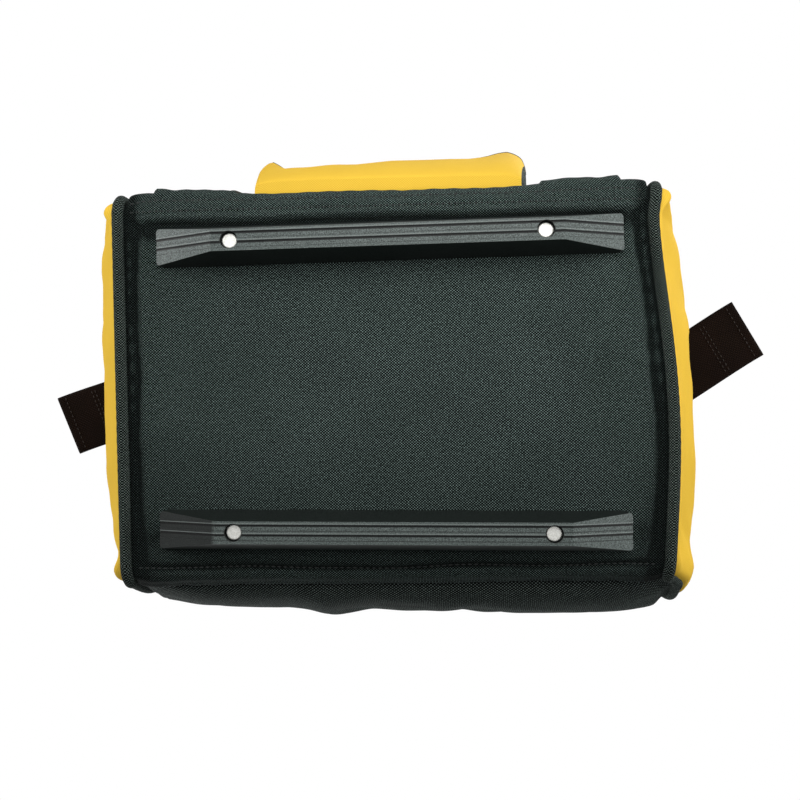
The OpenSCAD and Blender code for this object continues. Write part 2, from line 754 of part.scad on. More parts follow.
base_panel();
base_board();
front_runner();
rear_runner();
runner_rivets();
rivet_washers();
front_panel();
rear_panel();
left_end_panel();
right_end_panel();
left_piping();
right_piping();
front_lining();
rear_lining();
left_end_lining();
right_end_lining();
front_pocket();
pocket_binding();
front_left_strap();
front_right_strap();
rear_left_strap();
rear_right_strap();
left_tail_tape();
right_tail_tape();
left_tail_chain();
right_tail_chain();
front_flap_panel();
front_zip_tape();
front_zip_chain();
rear_flap_panel();
rear_zip_tape();
rear_zip_chain();
zip_slider();
zip_pull();
front_handle();
front_grip();
rear_handle();
rear_grip();
left_tab();
right_tab();
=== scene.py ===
import math

import bmesh
import bpy
import numpy as np
from mathutils import Euler, Matrix, Vector


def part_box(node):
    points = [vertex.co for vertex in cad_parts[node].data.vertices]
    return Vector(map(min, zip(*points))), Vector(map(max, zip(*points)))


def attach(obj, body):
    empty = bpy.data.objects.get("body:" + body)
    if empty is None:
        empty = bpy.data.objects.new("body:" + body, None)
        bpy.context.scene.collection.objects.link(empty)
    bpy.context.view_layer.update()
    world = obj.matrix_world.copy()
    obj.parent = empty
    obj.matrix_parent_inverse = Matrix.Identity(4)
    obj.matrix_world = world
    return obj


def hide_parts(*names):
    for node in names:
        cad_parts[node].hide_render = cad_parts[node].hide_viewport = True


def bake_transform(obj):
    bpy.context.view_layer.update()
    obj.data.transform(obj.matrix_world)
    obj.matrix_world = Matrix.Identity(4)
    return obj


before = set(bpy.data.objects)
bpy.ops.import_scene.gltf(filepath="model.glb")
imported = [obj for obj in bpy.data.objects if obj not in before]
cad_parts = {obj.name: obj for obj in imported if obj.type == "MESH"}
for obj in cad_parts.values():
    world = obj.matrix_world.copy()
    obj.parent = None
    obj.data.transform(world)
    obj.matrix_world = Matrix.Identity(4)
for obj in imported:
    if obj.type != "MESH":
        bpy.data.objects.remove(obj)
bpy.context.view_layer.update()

MM = 0.001


def corner(node, high, axis):
    """Place of a node's low or high side along an axis, in metres."""
    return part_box(node)[1 if high else 0][axis]


# Sizes of the construction, from the frame where a box gives them
PANEL_X = corner("base_panel", True, 0)
CLOTH_X = PANEL_X + 1.5 * MM
HALF_W = corner("base_panel", True, 1)
BASE_Z = corner("base_panel", False, 2)
SEAM_Z = corner("base_panel", True, 2)
BASE_R = SEAM_Z - BASE_Z
PIPING_X = (corner("right_piping", True, 0) + corner("right_piping", False, 0)) / 2
END_X = corner("right_end_panel", False, 0)
FLAP_X = corner("rear_flap_panel", True, 0)
TAPE_X = corner("rear_zip_tape", True, 0)
TAIL_END = corner("right_tail_tape", True, 0)
TAIL_START = corner("right_tail_tape", False, 0)
PIPING_R = 3.5 * MM
PANEL_T = 2 * MM
SHOULDER_R = 28 * MM
CROWN = 2.5 * MM
TOP_Z = corner("right_end_panel", True, 2) - CROWN
SHOULDER_Z = TOP_Z - SHOULDER_R
MOUTH_Y = HALF_W - SHOULDER_R
MIDDLE_Z = (BASE_Z + TOP_Z) / 2
SIDE_RUN = SHOULDER_Z - SEAM_Z
WALL_RUN = SIDE_RUN + SHOULDER_R * math.pi / 2
PUFF_RUN = WALL_RUN - 14 * MM
FRONT_BULGE = -corner("front_panel", False, 1) - HALF_W
REAR_BULGE = corner("rear_panel", True, 1) - HALF_W
REAR_PUFF = REAR_BULGE - 2 * MM

STRAP_X = 121 * MM
STRAP_W = 50 * MM
STRAP_T = 3 * MM
STRAP_GAP = 0.7 * MM
STITCH_L = 2.7 * MM
STITCH_GAP = 1.1 * MM
STITCH_R = 0.42 * MM
FINE_STITCH_R = 0.35 * MM
FRONT_STITCHES = (10.5 * MM, 16.5 * MM)
REAR_STITCH = 16 * MM
REAR_STRAP_Z = corner("rear_right_strap", False, 2)
HANDLE_RISE = 146 * MM
HANDLE_LEAN = math.radians(4)
HANDLE_POWER = 2.6
CORE_W = 28 * MM
CORE_T = 5 * MM
TWIST_H = 85 * MM
GATHER_SHARE = 0.6
GRIP_L = 130 * MM
GRIP_W = 36 * MM
GRIP_T = 18 * MM

POCKET_HALF = corner("front_pocket", True, 0)
POCKET_FOOT = 83 * MM
POCKET_Z = corner("front_pocket", True, 2)
POCKET_LOW_Z = SEAM_Z + 1 * MM
POCKET_T = 1.6 * MM

ZIP_Z = TOP_Z + 10 * MM
CHAIN_GAP = 1.6 * MM
CHAIN_W = 2.2 * MM
CHAIN_H = 2.4 * MM
TAPE_IN = CHAIN_GAP / 2 + CHAIN_W + 0.05 * MM
TAPE_OUT = TAPE_IN + 14 * MM
TAPE_T = 0.8 * MM
TAPE_FALL = 3.1 * MM
FLAP_EDGE = 8.5 * MM
FLAP_T = 2 * MM
HINGE_Y = MOUTH_Y + 1.5 * MM
HINGE_Z = TOP_Z + 0.3 * MM

TAB_X = PIPING_X + 39 * MM
TAB_L = 84 * MM
TAB_T = 4.6 * MM
TAB_SHIFT = -6 * MM
TAB_TIP_R = 3.1 * MM
RIGHT_TAB_TURN = math.radians(29)
LEFT_TAB_TURN = math.radians(22)

RUNNER_Y = (corner("rear_runner", True, 1) + corner("rear_runner", False, 1)) / 2
FRONT_TURN = math.radians(-0.51)
REAR_TURN = math.radians(1.0)
FRONT_SHIFT = -0.23 * MM
REAR_SHIFT = 0.62 * MM
CHANNEL_WALLS = (-4.6 * MM, 1.0 * MM)
CHANNEL_W = 3.6 * MM
RAMP_X = 103.5 * MM
TREAD_END_R = 2.6 * MM

# The camera that took the photograph, in millimetres and degrees, with its focal length in pixels
CAMERA_PLACE = (27.9, 29.7, -546.1)
CAMERA_TURN = (2.03, -2.32, 0.98)
FOCAL_PX = 950
PHOTO_PX = 800
SENSOR_MM = 36


# Shapes as whole arrays

def mix(a, b, t):
    """Value from a to b at a share t."""
    return a + (b - a) * t


def smooth(t):
    """Smooth step from 0 to 1: 3 t squared minus 2 t cubed, held at both ends."""
    t = np.clip(t, 0, 1)
    return t * t * (3 - 2 * t)


def sign_pow(value, power):
    """Power of the size, with the sign kept."""
    return np.sign(value) * np.abs(value) ** power


def bell(distance, width):
    """Bell curve: 1 at no distance, falling as e to the minus square of distance over width."""
    return np.exp(-(distance / width) ** 2)


def join(*parts):
    """Points or UVs from their coordinates, given in shapes that fit one another."""
    return np.stack(np.broadcast_arrays(*parts), -1)


def lengths(points, axis):
    """Distance along each line of a grid, from the middle line."""
    steps = np.linalg.norm(np.diff(points, axis=axis), axis=-1)
    total = np.cumsum(steps, axis=axis)
    start = np.zeros_like(np.take(total, [0], axis))
    total = np.concatenate([start, total], axis)
    return total - np.take(total, [total.shape[axis] // 2], axis)


def cloth_uv(points):
    """UVs of a grid in metres: the distance along its columns and rows from the middle ones."""
    return join(lengths(points, 1), lengths(points, 0))


def soft_noise(u, v, cell, seed):
    """Height from -1 to 1: random values on a square lattice of that cell, joined by smooth steps."""
    table = np.random.default_rng(seed).uniform(-1, 1, (64, 64))
    a, b = u / cell, v / cell
    i, j = np.floor(a).astype(int), np.floor(b).astype(int)
    fu, fv = smooth(a - i), smooth(b - j)
    low = mix(table[i % 64, j % 64], table[(i + 1) % 64, j % 64], fu)
    high = mix(table[i % 64, (j + 1) % 64], table[(i + 1) % 64, (j + 1) % 64], fu)
    return mix(low, high, fv)


def creases(u, v, turn, pitch, stretch, seed):
    """Long soft folds: noise on axes turned by an angle, drawn out along one of them."""
    along = u * math.cos(turn) + v * math.sin(turn)
    across = v * math.cos(turn) - u * math.sin(turn)
    return soft_noise(along / stretch, across, pitch, seed)


def puckers(along, distance, pitch, reach, seed):
    """Gathers at a seam: waves along it, of uneven pitch, that die away with distance from it."""
    phase = 2 * math.pi * along / pitch + 2.2 * soft_noise(along, distance * 0.3, 3 * pitch, seed)
    depth = 0.65 + 0.35 * soft_noise(along, distance, 5 * pitch, seed + 1)
    return np.sin(phase) * depth * np.exp(-distance / reach)


# How far the ends lean along X from front to rear at the base, as polynomials in millimetres
RIGHT_LEAN = (6.54, -4.64, -12.67, 6.46, 1.22)
LEFT_LEAN = (0.12, 2.2, 2.08)
RIGHT_BOW = 27 * MM
LEFT_BOW = 21 * MM


def settle(points):
    """How the filled bag has set. Its ends lean along X by a curve over front to rear, which turns to a
    straight line higher up and fades at the shoulder. Its rear side bows out near both ends, by half a sine
    wave over the height times a power of the place along the bag, less at the pipings themselves, and the
    right corners are pushed out."""
    x, y, z = points[..., 0], points[..., 1], points[..., 2]
    rear = np.clip(y / HALF_W, -1, 1)
    low = 1 - smooth((z - 118 * MM) / (55 * MM))
    up = smooth((z - 40 * MM) / (60 * MM))
    right = smooth((x / PANEL_X - 0.3) / 0.7)
    left = smooth((-x / PANEL_X - 0.3) / 0.7)
    high = -0.8 + 3.2 * rear
    flare = 10.5 * right * smooth((y / HALF_W - 0.72) / 0.28) * smooth((z - 24 * MM) / (24 * MM))
    flare = flare + 2.8 * right * smooth((-y / HALF_W - 0.8) / 0.2)
    lean = flare + right * mix(np.polyval(RIGHT_LEAN, rear), high, up)
    lean = lean + left * mix(np.polyval(LEFT_LEAN, rear), high, up)
    far = np.clip(np.abs(x) / PANEL_X, 0, 1)
    end = smooth((far - np.where(x > 0, 0.95, 0.965)) / 0.04)
    rise = np.sin(math.pi * np.clip((z - SEAM_Z) / (mix(155, np.where(x > 0, 145, 105), end) * MM), 0, 1))
    reach = far ** np.where(x > 0, 5.0, 7.0) * (1 - np.where(x > 0, 0.2, 0.52) * end)
    bow = np.where(x > 0, RIGHT_BOW, LEFT_BOW) * rise * reach * smooth(y / HALF_W)
    return join(x + lean * low * MM, y + bow, z)


def grid_quads(rows, columns):
    """The four point numbers of each quad of a grid of points."""
    i, j = np.meshgrid(np.arange(rows - 1), np.arange(columns - 1), indexing="ij")
    a = (i * columns + j).ravel()
    return join(a, a + columns, a + columns + 1, a + 1)


def new_object(name, data):
    """Object of some data, in the scene."""
    made = bpy.data.objects.new(name, data)
    bpy.context.scene.collection.objects.link(made)
    return made


class Piece:
    """Gathers grids of points and copies of small shapes into one mesh, with UVs in metres."""

    def __init__(self):
        self.points, self.quads, self.uvs, self.slots, self.painted_shades = [], [], [], [], []
        self.count = 0

    def take(self, points, quads, uvs, slot, painted_shade=None):
        """Adds points and quads, with a UV for each quad's corners and one material number."""
        self.points.append(points.reshape(-1, 3))
        self.painted_shades.append(np.zeros(points.size // 3) if painted_shade is None else painted_shade.ravel())
        self.quads.append(quads + self.count)
        self.uvs.append(uvs)
        self.slots.append(np.full(len(quads), slot))
        self.count += len(points.reshape(-1, 3))

    def grid(self, points, uv=None, slot=0, flip=False, where=None, painted_shade=None):
        """Quads over a grid of rows and columns. where gives each quad's own material number, and the last
        argument how much painted shade each point takes in its folds, from 0 to 1."""
        if uv is None:
            uv = cloth_uv(points)
        quads = grid_quads(*points.shape[:2])
        if flip:
            quads = quads[:, ::-1]
        self.take(points, quads, uv.reshape(-1, 2)[quads], slot, painted_shade)
        if where is not None:
            self.slots[-1] = where.ravel().astype(int)

    def copies(self, shape, frames, places, slot=0):
        """Copies of a small grid shape, each turned by a frame of three row vectors and moved into place."""
        quads = grid_quads(*shape.shape[:2])
        flat = shape.reshape(-1, 3)
        points = np.einsum("kc,nca->nka", flat, frames) + places[:, None]
        every = (quads[None] + (np.arange(len(places)) * len(flat))[:, None, None]).reshape(-1, 4)
        self.take(points, every, np.tile(flat[:, :2][quads], (len(places), 1, 1)), slot)

    def build(self, name, materials, closed=True, lean=False):
        """Makes the object, with its doubled points merged. A closed one gets its faces turned outwards."""
        points = np.concatenate(self.points)
        if lean:
            points = settle(points)
        quads = np.concatenate(self.quads)
        mesh = bpy.data.meshes.new(name)
        mesh.vertices.add(len(points))
        mesh.vertices.foreach_set("co", points.astype(np.float32).ravel())
        mesh.loops.add(quads.size)
        mesh.loops.foreach_set("vertex_index", quads.astype(np.int32).ravel())
        mesh.polygons.add(len(quads))
        mesh.polygons.foreach_set("loop_start", np.arange(0, quads.size, 4, dtype=np.int32))
        mesh.polygons.foreach_set("material_index", np.concatenate(self.slots).astype(np.int32))
        layer = mesh.uv_layers.new(name="cloth")
        layer.data.foreach_set("uv", np.concatenate(self.uvs).astype(np.float32).ravel())
        # Painted shade per point, which the cloth materials use to darken folds, dents and corners.
        depth = mesh.attributes.new("painted_shade", "FLOAT", "POINT")
        depth.data.foreach_set("value", np.concatenate(self.painted_shades).astype(np.float32))
        mesh.update(calc_edges=True)
        work = bmesh.new()
        work.from_mesh(mesh)
        bmesh.ops.remove_doubles(work, verts=work.verts, dist=0.002 * MM)
        if closed:
            bmesh.ops.recalc_face_normals(work, faces=work.faces)
        work.to_mesh(mesh)
        work.free()
        mesh.shade_smooth()
        for material in materials:
            mesh.materials.append(material)
        return new_object(name, mesh)


def settle_in(piece, body, slot, *nodes):
    """Says what a finished piece rides on and which nodes it stands for. Its slot is not used."""
    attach(piece, body)
    if nodes:
        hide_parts(*nodes)


def thicken(piece, thickness):
    """Gives a sheet its thickness, inwards from its face."""
    wall = piece.modifiers.new("thickness", "SOLIDIFY")
    wall.thickness = thickness
    wall.offset = -1.0


def stitch_shape(length, radius):
    """One stitch: a slim round body along X. Its radius goes as the square root of 1 minus t squared, with t
    from -1 to 1."""
    t = np.linspace(-1, 1, 5)[:, None]
    turn = np.linspace(0, 2 * math.pi, 7)[None]
    r = radius * np.sqrt(np.clip(1 - t ** 2, 0, 1))
    x = np.broadcast_to(t * length / 2, (5, 7))
    return join(x, r * np.cos(turn), r * np.sin(turn))


def spaced(path, pitch, *others):
    """Points at an even pitch along a path, with other arrays carried to the same places."""
    run = np.concatenate([[0], np.cumsum(np.linalg.norm(np.diff(path, axis=0), axis=1))])
    at = np.arange(pitch / 2, run[-1], pitch)
    return [np.stack([np.interp(at, run, a[:, k]) for k in range(3)], -1) for a in (path,) + others]


def unit(v):
    """Vectors of the same direction and of length 1."""
    return v / np.linalg.norm(v, axis=-1, keepdims=True)


def sew(piece, path, normals, slot, radius=STITCH_R, sink=0.1 * MM):
    """A row of stitches along a path, each lying along it and sunk a little under the face."""
    places, ups = spaced(path, STITCH_L + STITCH_GAP, normals)
    along = unit(np.gradient(places, axis=0))
    ups = unit(ups - along * np.sum(ups * along, -1, keepdims=True))
    side = np.cross(ups, along)
    frames = np.stack([along, side, ups], 1)
    piece.copies(stitch_shape(STITCH_L, radius), frames, places + ups * (radius - sink), slot)


def band_section(width, thickness, flats=9, ends=3):
    """Ring of a flat band, [across, through]: two flats and two half-round edges, with no point twice."""
    edge = thickness / 2
    a = np.linspace(-(width / 2 - edge), width / 2 - edge, flats)
    turn = np.linspace(math.pi / 2, -math.pi / 2, ends + 2)[1:-1]
    right = join(width / 2 - edge + edge * np.cos(turn), edge * np.sin(turn))
    top = join(a, np.full(flats, edge))
    return np.concatenate([top, right, -top, -right])


def cap_ends(piece, rings):
    """Strips across the first and the last of some rings of points."""
    half = rings.shape[1] // 2
    for ring in (rings[0], rings[-1]):
        piece.grid(np.stack([ring[:half], ring[:half - 1:-1]]))


def add_band(piece, rings):
    """Closed band through rings of points, with strips across its two ends."""
    closed = np.concatenate([rings, rings[:, :1]], 1)
    around = lengths(closed, 1)
    along = np.broadcast_to(lengths(rings.mean(1)[:, None], 0), closed.shape[:2])
    width = np.linalg.norm(rings[:, 0] - rings[:, rings.shape[1] // 2 - 4], axis=-1)
    piece.grid(closed, join(around - around[:, :1] - width[:, None] / 2, along))
    cap_ends(piece, rings)


# Shader nodes

class Tree:
    """Adds nodes to a tree. A value may be a number, a colour, or another node's output."""

    def __init__(self, tree):
        self.tree = tree

    def set(self, socket, value):
        """Links a socket or gives it a value."""
        if isinstance(value, bpy.types.NodeSocket):
            self.tree.links.new(value, socket)
        else:
            socket.default_value = value

    def fill(self, node, **named):
        """Sets a node's inputs by their names, with underscores for the spaces."""
        for key, value in named.items():
            self.set(node.inputs[key.replace("_", " ")], value)

    def add(self, kind, *inputs, settings=None, **named):
        """New node, with its inputs in order or by name, and its settings."""
        node = self.tree.nodes.new(kind)
        for key, value in (settings or {}).items():
            setattr(node, key, value)
        for socket, value in zip(node.inputs, inputs):
            self.set(socket, value)
        self.fill(node, **named)
        return node

    def math(self, operation, *values):
        """Result of a sum on up to three values."""
        return self.add("ShaderNodeMath", *values, settings={"operation": operation}).outputs[0]

    def blend(self, factor, a, b, kind="MIX"):
        """Mix of two colours."""
        node = self.add("ShaderNodeMix", settings={"data_type": "RGBA", "blend_type": kind})
        for socket, value in zip((node.inputs[0], node.inputs[6], node.inputs[7]), (factor, a, b)):
            self.set(socket, value)
        return node.outputs[2]

    def remap(self, value, low, high, to_low=0.0, to_high=1.0):
        """Value carried from one range to another, and held at its ends."""
        return self.add("ShaderNodeMapRange", value, low, high, to_low, to_high).outputs[0]

    def noise(self, vector, scale, detail=2.0, roughness=0.5):
        """Soft noise from 0 to 1 at a place."""
        node = self.add("ShaderNodeTexNoise", Vector=vector, Scale=scale, Detail=detail, Roughness=roughness)
        return node.outputs["Fac"]

    def wave(self, value, period):
        """Sine wave of a length, from 0 to 1."""
        turn = self.math("MULTIPLY", value, 2 * math.pi / period)
        return self.math("MULTIPLY_ADD", self.math("SINE", turn), 0.5, 0.5)

    def grey(self, value):
        """The same value in three channels."""
        return self.add("ShaderNodeCombineXYZ", value, value, value).outputs[0]

    def object_place(self):
        """Place in the object's own space."""
        return self.add("ShaderNodeTexCoord").outputs["Object"]

    def cloth_place(self):
        """Place on the cloth in metres, from its UVs."""
        return self.add("ShaderNodeUVMap", settings={"uv_map": "cloth"}).outputs[0]


def new_group(name, inputs, outputs):
    """Node group with named sockets, given as (name, kind, value)."""
    group = bpy.data.node_groups.new(name, "ShaderNodeTree")
    for label, kind, value in inputs:
        socket = group.interface.new_socket(name=label, in_out="INPUT", socket_type="NodeSocket" + kind)
        if value is not None:
            socket.default_value = value
    for label, kind in outputs:
        group.interface.new_socket(name=label, in_out="OUTPUT", socket_type="NodeSocket" + kind)
    tree = Tree(group)
    start = group.nodes.new("NodeGroupInput")
    end = group.nodes.new("NodeGroupOutput")
    return group, tree, start, end


def weave_group():
    """Plain weave: yarns cross over and under in turn, so raised spots form a chequer.
    Over = half of 1 + sine of u over the yarns' pitch times sine of v over theirs."""
    group, t, start, end = new_group(
        "plain_weave",
        [("Place", "Vector", None), ("Across", "Float", 0.89 * MM), ("Along", "Float", 0.79 * MM),
         ("Uneven", "Float", 0.5), ("Floor", "Float", 0.5), ("Contrast", "Float", 1.5)],
        [("Height", "Float"), ("Shade", "Float")])
    parts = t.add("ShaderNodeSeparateXYZ", start.outputs["Place"])
    wobble = t.math("SUBTRACT", t.noise(start.outputs["Place"], 110.0, 1.0), 0.5)
    u = t.math("MULTIPLY_ADD", wobble, 0.5 * MM, parts.outputs[0])
    v = t.math("MULTIPLY_ADD", wobble, -0.4 * MM, parts.outputs[1])
    waves = []
    for place, pitch in ((u, "Across"), (v, "Along")):
        turn = t.math("MULTIPLY", t.math("DIVIDE", place, start.outputs[pitch]), math.pi)
        waves.append(t.math("SINE", turn))
    over = t.math("MULTIPLY_ADD", t.math("MULTIPLY", waves[0], waves[1]), 0.5, 0.5)
    speck = t.math("SUBTRACT", t.noise(start.outputs["Place"], 800.0, 2.0, 0.7), 0.5)
    shade = t.remap(t.math("MULTIPLY_ADD", speck, start.outputs["Uneven"], over), start.outputs["Floor"], 1.0)
    t.set(end.inputs["Height"], over)
    t.set(end.inputs["Shade"], t.math("POWER", shade, start.outputs["Contrast"]))
    return group


def webbing_group():
    """Flat webbing: ribs across the band, each a row of round floats, and a firm edge on both sides."""
    group, t, start, end = new_group(
        "webbing_weave",
        [("Place", "Vector", None), ("Rib", "Float", 2.4 * MM), ("Yarn", "Float", 1.3 * MM)],
        [("Height", "Float"), ("Shade", "Float")])
    parts = t.add("ShaderNodeSeparateXYZ", start.outputs["Place"])
    across = t.math("DIVIDE", parts.outputs[0], start.outputs["Yarn"])
    along = t.math("DIVIDE", parts.outputs[1], start.outputs["Rib"])
    column = t.math("FLOOR", across)
    odd = t.math("MULTIPLY", t.math("MODULO", column, 2.0), 0.5)
    yarn = t.math("ABSOLUTE", t.math("SINE", t.math("MULTIPLY", across, math.pi)))
    rib = t.math("ABSOLUTE", t.math("SINE", t.math("MULTIPLY", t.math("ADD", along, odd), math.pi)))
    height = t.math("MULTIPLY", t.math("POWER", yarn, 0.6), t.math("MULTIPLY_ADD", rib, 0.7, 0.3))
    speck = t.noise(start.outputs["Place"], 700.0, 2.0, 0.6)
    shade = t.math("ADD", height, t.math("MULTIPLY", t.math("SUBTRACT", speck, 0.5), 0.5))
    t.set(end.inputs["Height"], height)
    t.set(end.inputs["Shade"], t.remap(shade, 0.0, 1.1))
    return group


def grain_group():
    """Moulded grain: fine pits, and broad patches where the surface is duller."""
    group, t, start, end = new_group(
        "moulded_grain",
        [("Place", "Vector", None), ("Scale", "Float", 1500.0)],
        [("Height", "Float"), ("Patches", "Float"), ("Pits", "Float")])
    fine = t.noise(start.outputs["Place"], start.outputs["Scale"], 3.0, 0.6)
    broad = t.noise(start.outputs["Place"], 35.0, 3.0, 0.6)
    t.set(end.inputs["Height"], fine)
    t.set(end.inputs["Patches"], broad)
    t.set(end.inputs["Pits"], t.remap(fine, 0.35, 0.7))
    return group


def lint_group():
    """Lint and dust: small pale specks, more of them in some places."""
    group, t, start, end = new_group(
        "lint", [("Place", "Vector", None), ("Amount", "Float", 0.3)], [("Mask", "Float")])
    specks = t.remap(t.noise(start.outputs["Place"], 620.0, 1.0), 0.70, 0.80)
    where = t.remap(t.noise(start.outputs["Place"], 22.0, 2.0), 0.45, 0.75)
    t.set(end.inputs["Mask"], t.math("MULTIPLY", t.math("MULTIPLY", specks, where), start.outputs["Amount"]))
    return group


GROUPS = {"weave": weave_group(), "lint": lint_group(), "webbing": webbing_group(), "grain": grain_group()}


def use(t, name, **inputs):
    """Places a shared node group in a material."""
    node = t.add("ShaderNodeGroup", settings={"node_tree": GROUPS[name]})
    t.fill(node, **inputs)
    return node


def new_material(name):
    """Material with one plain surface shader: its tree, the shader and the output node."""
    material = bpy.data.materials.new(name)
    material.use_nodes = True
    material.node_tree.nodes.clear()
    t = Tree(material.node_tree)
    shader = t.add("ShaderNodeBsdfPrincipled")
    out = t.add("ShaderNodeOutputMaterial", Surface=shader.outputs[0])
    return material, t, shader, out


def rgb(red, green, blue):
    """Colour from its values of 0 to 255 on screen, made linear."""
    channels = [v / 255 for v in (red, green, blue)]
    return tuple(c / 12.92 if c <= 0.04045 else ((c + 0.055) / 1.055) ** 2.4 for c in channels) + (1.0,)


def bump(t, shader, height, strength, distance):
    """Relief that only the light sees."""
    node = t.add("ShaderNodeBump", Strength=strength, Distance=distance, Height=height)
    t.fill(shader, Normal=node.outputs[0])


def cloth_material(name, dark, light, scale=1.0, uneven=0.5, depth=0.2 * MM, lint=0.25, broad=0.12, floor=0.5,
                   contrast=1.5):
    """Woven cloth: dark between the yarns and light on them, partly painted shade and painted sheen, with
    painted shade in folds and dents, faint patches and lint."""
    material, t, shader, _ = new_material(name)
    place = t.cloth_place()
    weave = use(t, "weave", Place=place, Across=0.89 * MM * scale, Along=0.79 * MM * scale, Uneven=uneven,
                Floor=floor, Contrast=contrast)
    # The weave's tones are partly painted light: painted sheen on the raised yarns and painted shade between
    # them.
    colour = t.blend(weave.outputs["Shade"], dark, light)
    patches = t.remap(t.noise(place, 18.0, 3.0), 0.3, 0.7, 1 - broad, 1 + broad * 0.6)
    # Painted shade: the colour is darkened by a per-point attribute in folds, dents and corners.
    painted_shade = t.add("ShaderNodeAttribute", settings={"attribute_name": "painted_shade"}).outputs["Fac"]
    patches = t.math("MULTIPLY", patches, t.math("MULTIPLY_ADD", painted_shade, -0.8, 1.0))
    colour = t.blend(1.0, colour, t.grey(patches), "MULTIPLY")
    dust = use(t, "lint", Place=place, Amount=lint)
    t.fill(shader, Base_Color=t.blend(dust.outputs["Mask"], colour, rgb(150, 155, 150)),
           Roughness=t.remap(weave.outputs["Shade"], 0.0, 1.0, 0.9, 0.78), Specular_IOR_Level=0.04)
    bump(t, shader, weave.outputs["Height"], 0.7, depth)
    return material


def webbing_material(name, dark, light, rib=2.4 * MM, yarn=1.3 * MM, depth=0.5 * MM, specular=0.06):
    """Webbing: ribs across the band and rows of yarn along it."""
    material, t, shader, _ = new_material(name)
    place = t.cloth_place()
    weave = use(t, "webbing", Place=place, Rib=rib, Yarn=yarn)
    patches = t.remap(t.noise(place, 30.0, 3.0), 0.3, 0.7, 0.75, 1.2)
    colour = t.blend(1.0, t.blend(weave.outputs["Shade"], dark, light), t.grey(patches), "MULTIPLY")
    t.fill(shader, Base_Color=colour, Roughness=t.remap(weave.outputs["Shade"], 0.0, 1.0, 0.9, 0.7),
           Specular_IOR_Level=specular)
    bump(t, shader, weave.outputs["Height"], 0.8, depth)
    return material


def thread_material(name, dark, light):
    """Sewing thread: a twist of two plies along each stitch."""
    material, t, shader, _ = new_material(name)
    parts = t.add("ShaderNodeSeparateXYZ", t.cloth_place())
    ply = t.wave(t.math("ADD", parts.outputs[0], parts.outputs[1]), 0.5 * MM)
    t.fill(shader, Base_Color=t.blend(ply, dark, light), Roughness=t.remap(ply, 0.0, 1.0, 0.7, 0.5),
           Specular_IOR_Level=0.3)
    return material


def tread_wear_and_painted_light(t, place, colour):
    """Colour of a runner's tread: worn streaks along it, painted shade on the rear runner's left ramp, and on
    both channels a painted shadow line in the corner nearer the front, fainter painted shade at the other
    wall, and a painted highlight on the rib edge beside it."""
    parts = t.add("ShaderNodeSeparateXYZ", place)
    stretched = t.add("ShaderNodeMapping", Vector=place, Scale=(0.12, 1.0, 1.0))
    streak = t.remap(t.noise(stretched.outputs[0], 900.0, 2.0), 0.62, 0.8)
    colour = t.blend(t.math("MULTIPLY", streak, 0.3), colour, rgb(165, 172, 169))
    rear = t.math("GREATER_THAN", parts.outputs[1], 0.0)
    # Painted shade: the rear runner's left ramp is made darker.
    ramp = t.remap(parts.outputs[0], -RAMP_X - 1.5 * MM, -RAMP_X + 1.5 * MM, 0.9, 0.0)
    colour = t.blend(t.math("MULTIPLY", rear, ramp), colour, rgb(14, 16, 15))
    slope = t.math("MULTIPLY_ADD", rear, math.tan(REAR_TURN) - math.tan(FRONT_TURN), math.tan(FRONT_TURN))
    middle = t.math("MULTIPLY_ADD", rear, 2 * RUNNER_Y, -RUNNER_Y)
    middle = t.math("MULTIPLY_ADD", parts.outputs[0], slope, middle)
    across = t.math("SUBTRACT", parts.outputs[1], middle)
    # Painted shadow: a dark line in each channel's corner nearer the front, and fainter painted shade at its
    # other wall.
    lines, edges = 0.0, 0.0
    for wall in CHANNEL_WALLS:
        behind = t.math("SUBTRACT", across, wall)
        line = t.math("MULTIPLY", t.remap(behind, -0.4 * MM, -0.15 * MM),
                      t.remap(behind, 0.9 * MM, 1.3 * MM, 1.0, 0.0))
        other = t.math("ABSOLUTE", t.math("SUBTRACT", behind, CHANNEL_W - 0.05 * MM))
        lines = t.math("ADD", t.math("ADD", line, t.remap(other, 0.15 * MM, 0.4 * MM, 0.5, 0.0)), lines)
        # Painted highlight: a pale line on the rib edge beside each channel.
        beside = t.math("ABSOLUTE", t.math("ADD", behind, 0.75 * MM))
        edges = t.math("ADD", t.remap(beside, 0.1 * MM, 0.35 * MM, 0.4, 0.0), edges)
    colour = t.blend(edges, colour, rgb(160, 168, 165))
    return t.blend(t.math("MULTIPLY", lines, 0.96), colour, rgb(3, 4, 4))


def runner_material(name, dark, light, tread=False):
    """Moulded runner plastic: fine grain and duller patches. The tread is a paler copy, painted light on the
    faces that look down, with worn streaks, painted shade and painted highlights.
    """
    material, t, shader, _ = new_material(name)
    place = t.object_place()
    grain = use(t, "grain", Place=place, Scale=1500.0)
    colour = t.blend(grain.outputs["Pits"], dark, light)
    if tread:
        colour = tread_wear_and_painted_light(t, place, colour)
    t.fill(shader, Base_Color=colour, Roughness=t.remap(grain.outputs["Patches"], 0.3, 0.7, 0.36, 0.46),
           Specular_IOR_Level=0.16)
    bump(t, shader, grain.outputs["Height"], 0.5, 0.15 * MM)
    return material


def grained_material(name, dark, light, rough, metallic=1.0, scale=1200.0, strength=0.15, depth=0.05 * MM):
    """Plated metal, or with other values the pressed fibre of the board: fine pits, and patches where it is
    duller."""
    material, t, shader, _ = new_material(name)
    grain = use(t, "grain", Place=t.object_place(), Scale=scale)
    t.fill(shader, Base_Color=t.blend(grain.outputs["Pits"], dark, light), Metallic=metallic,
           Roughness=t.remap(grain.outputs["Patches"], 0.3, 0.7, rough, rough + 0.15))
    bump(t, shader, grain.outputs["Height"], strength, depth)
    return material


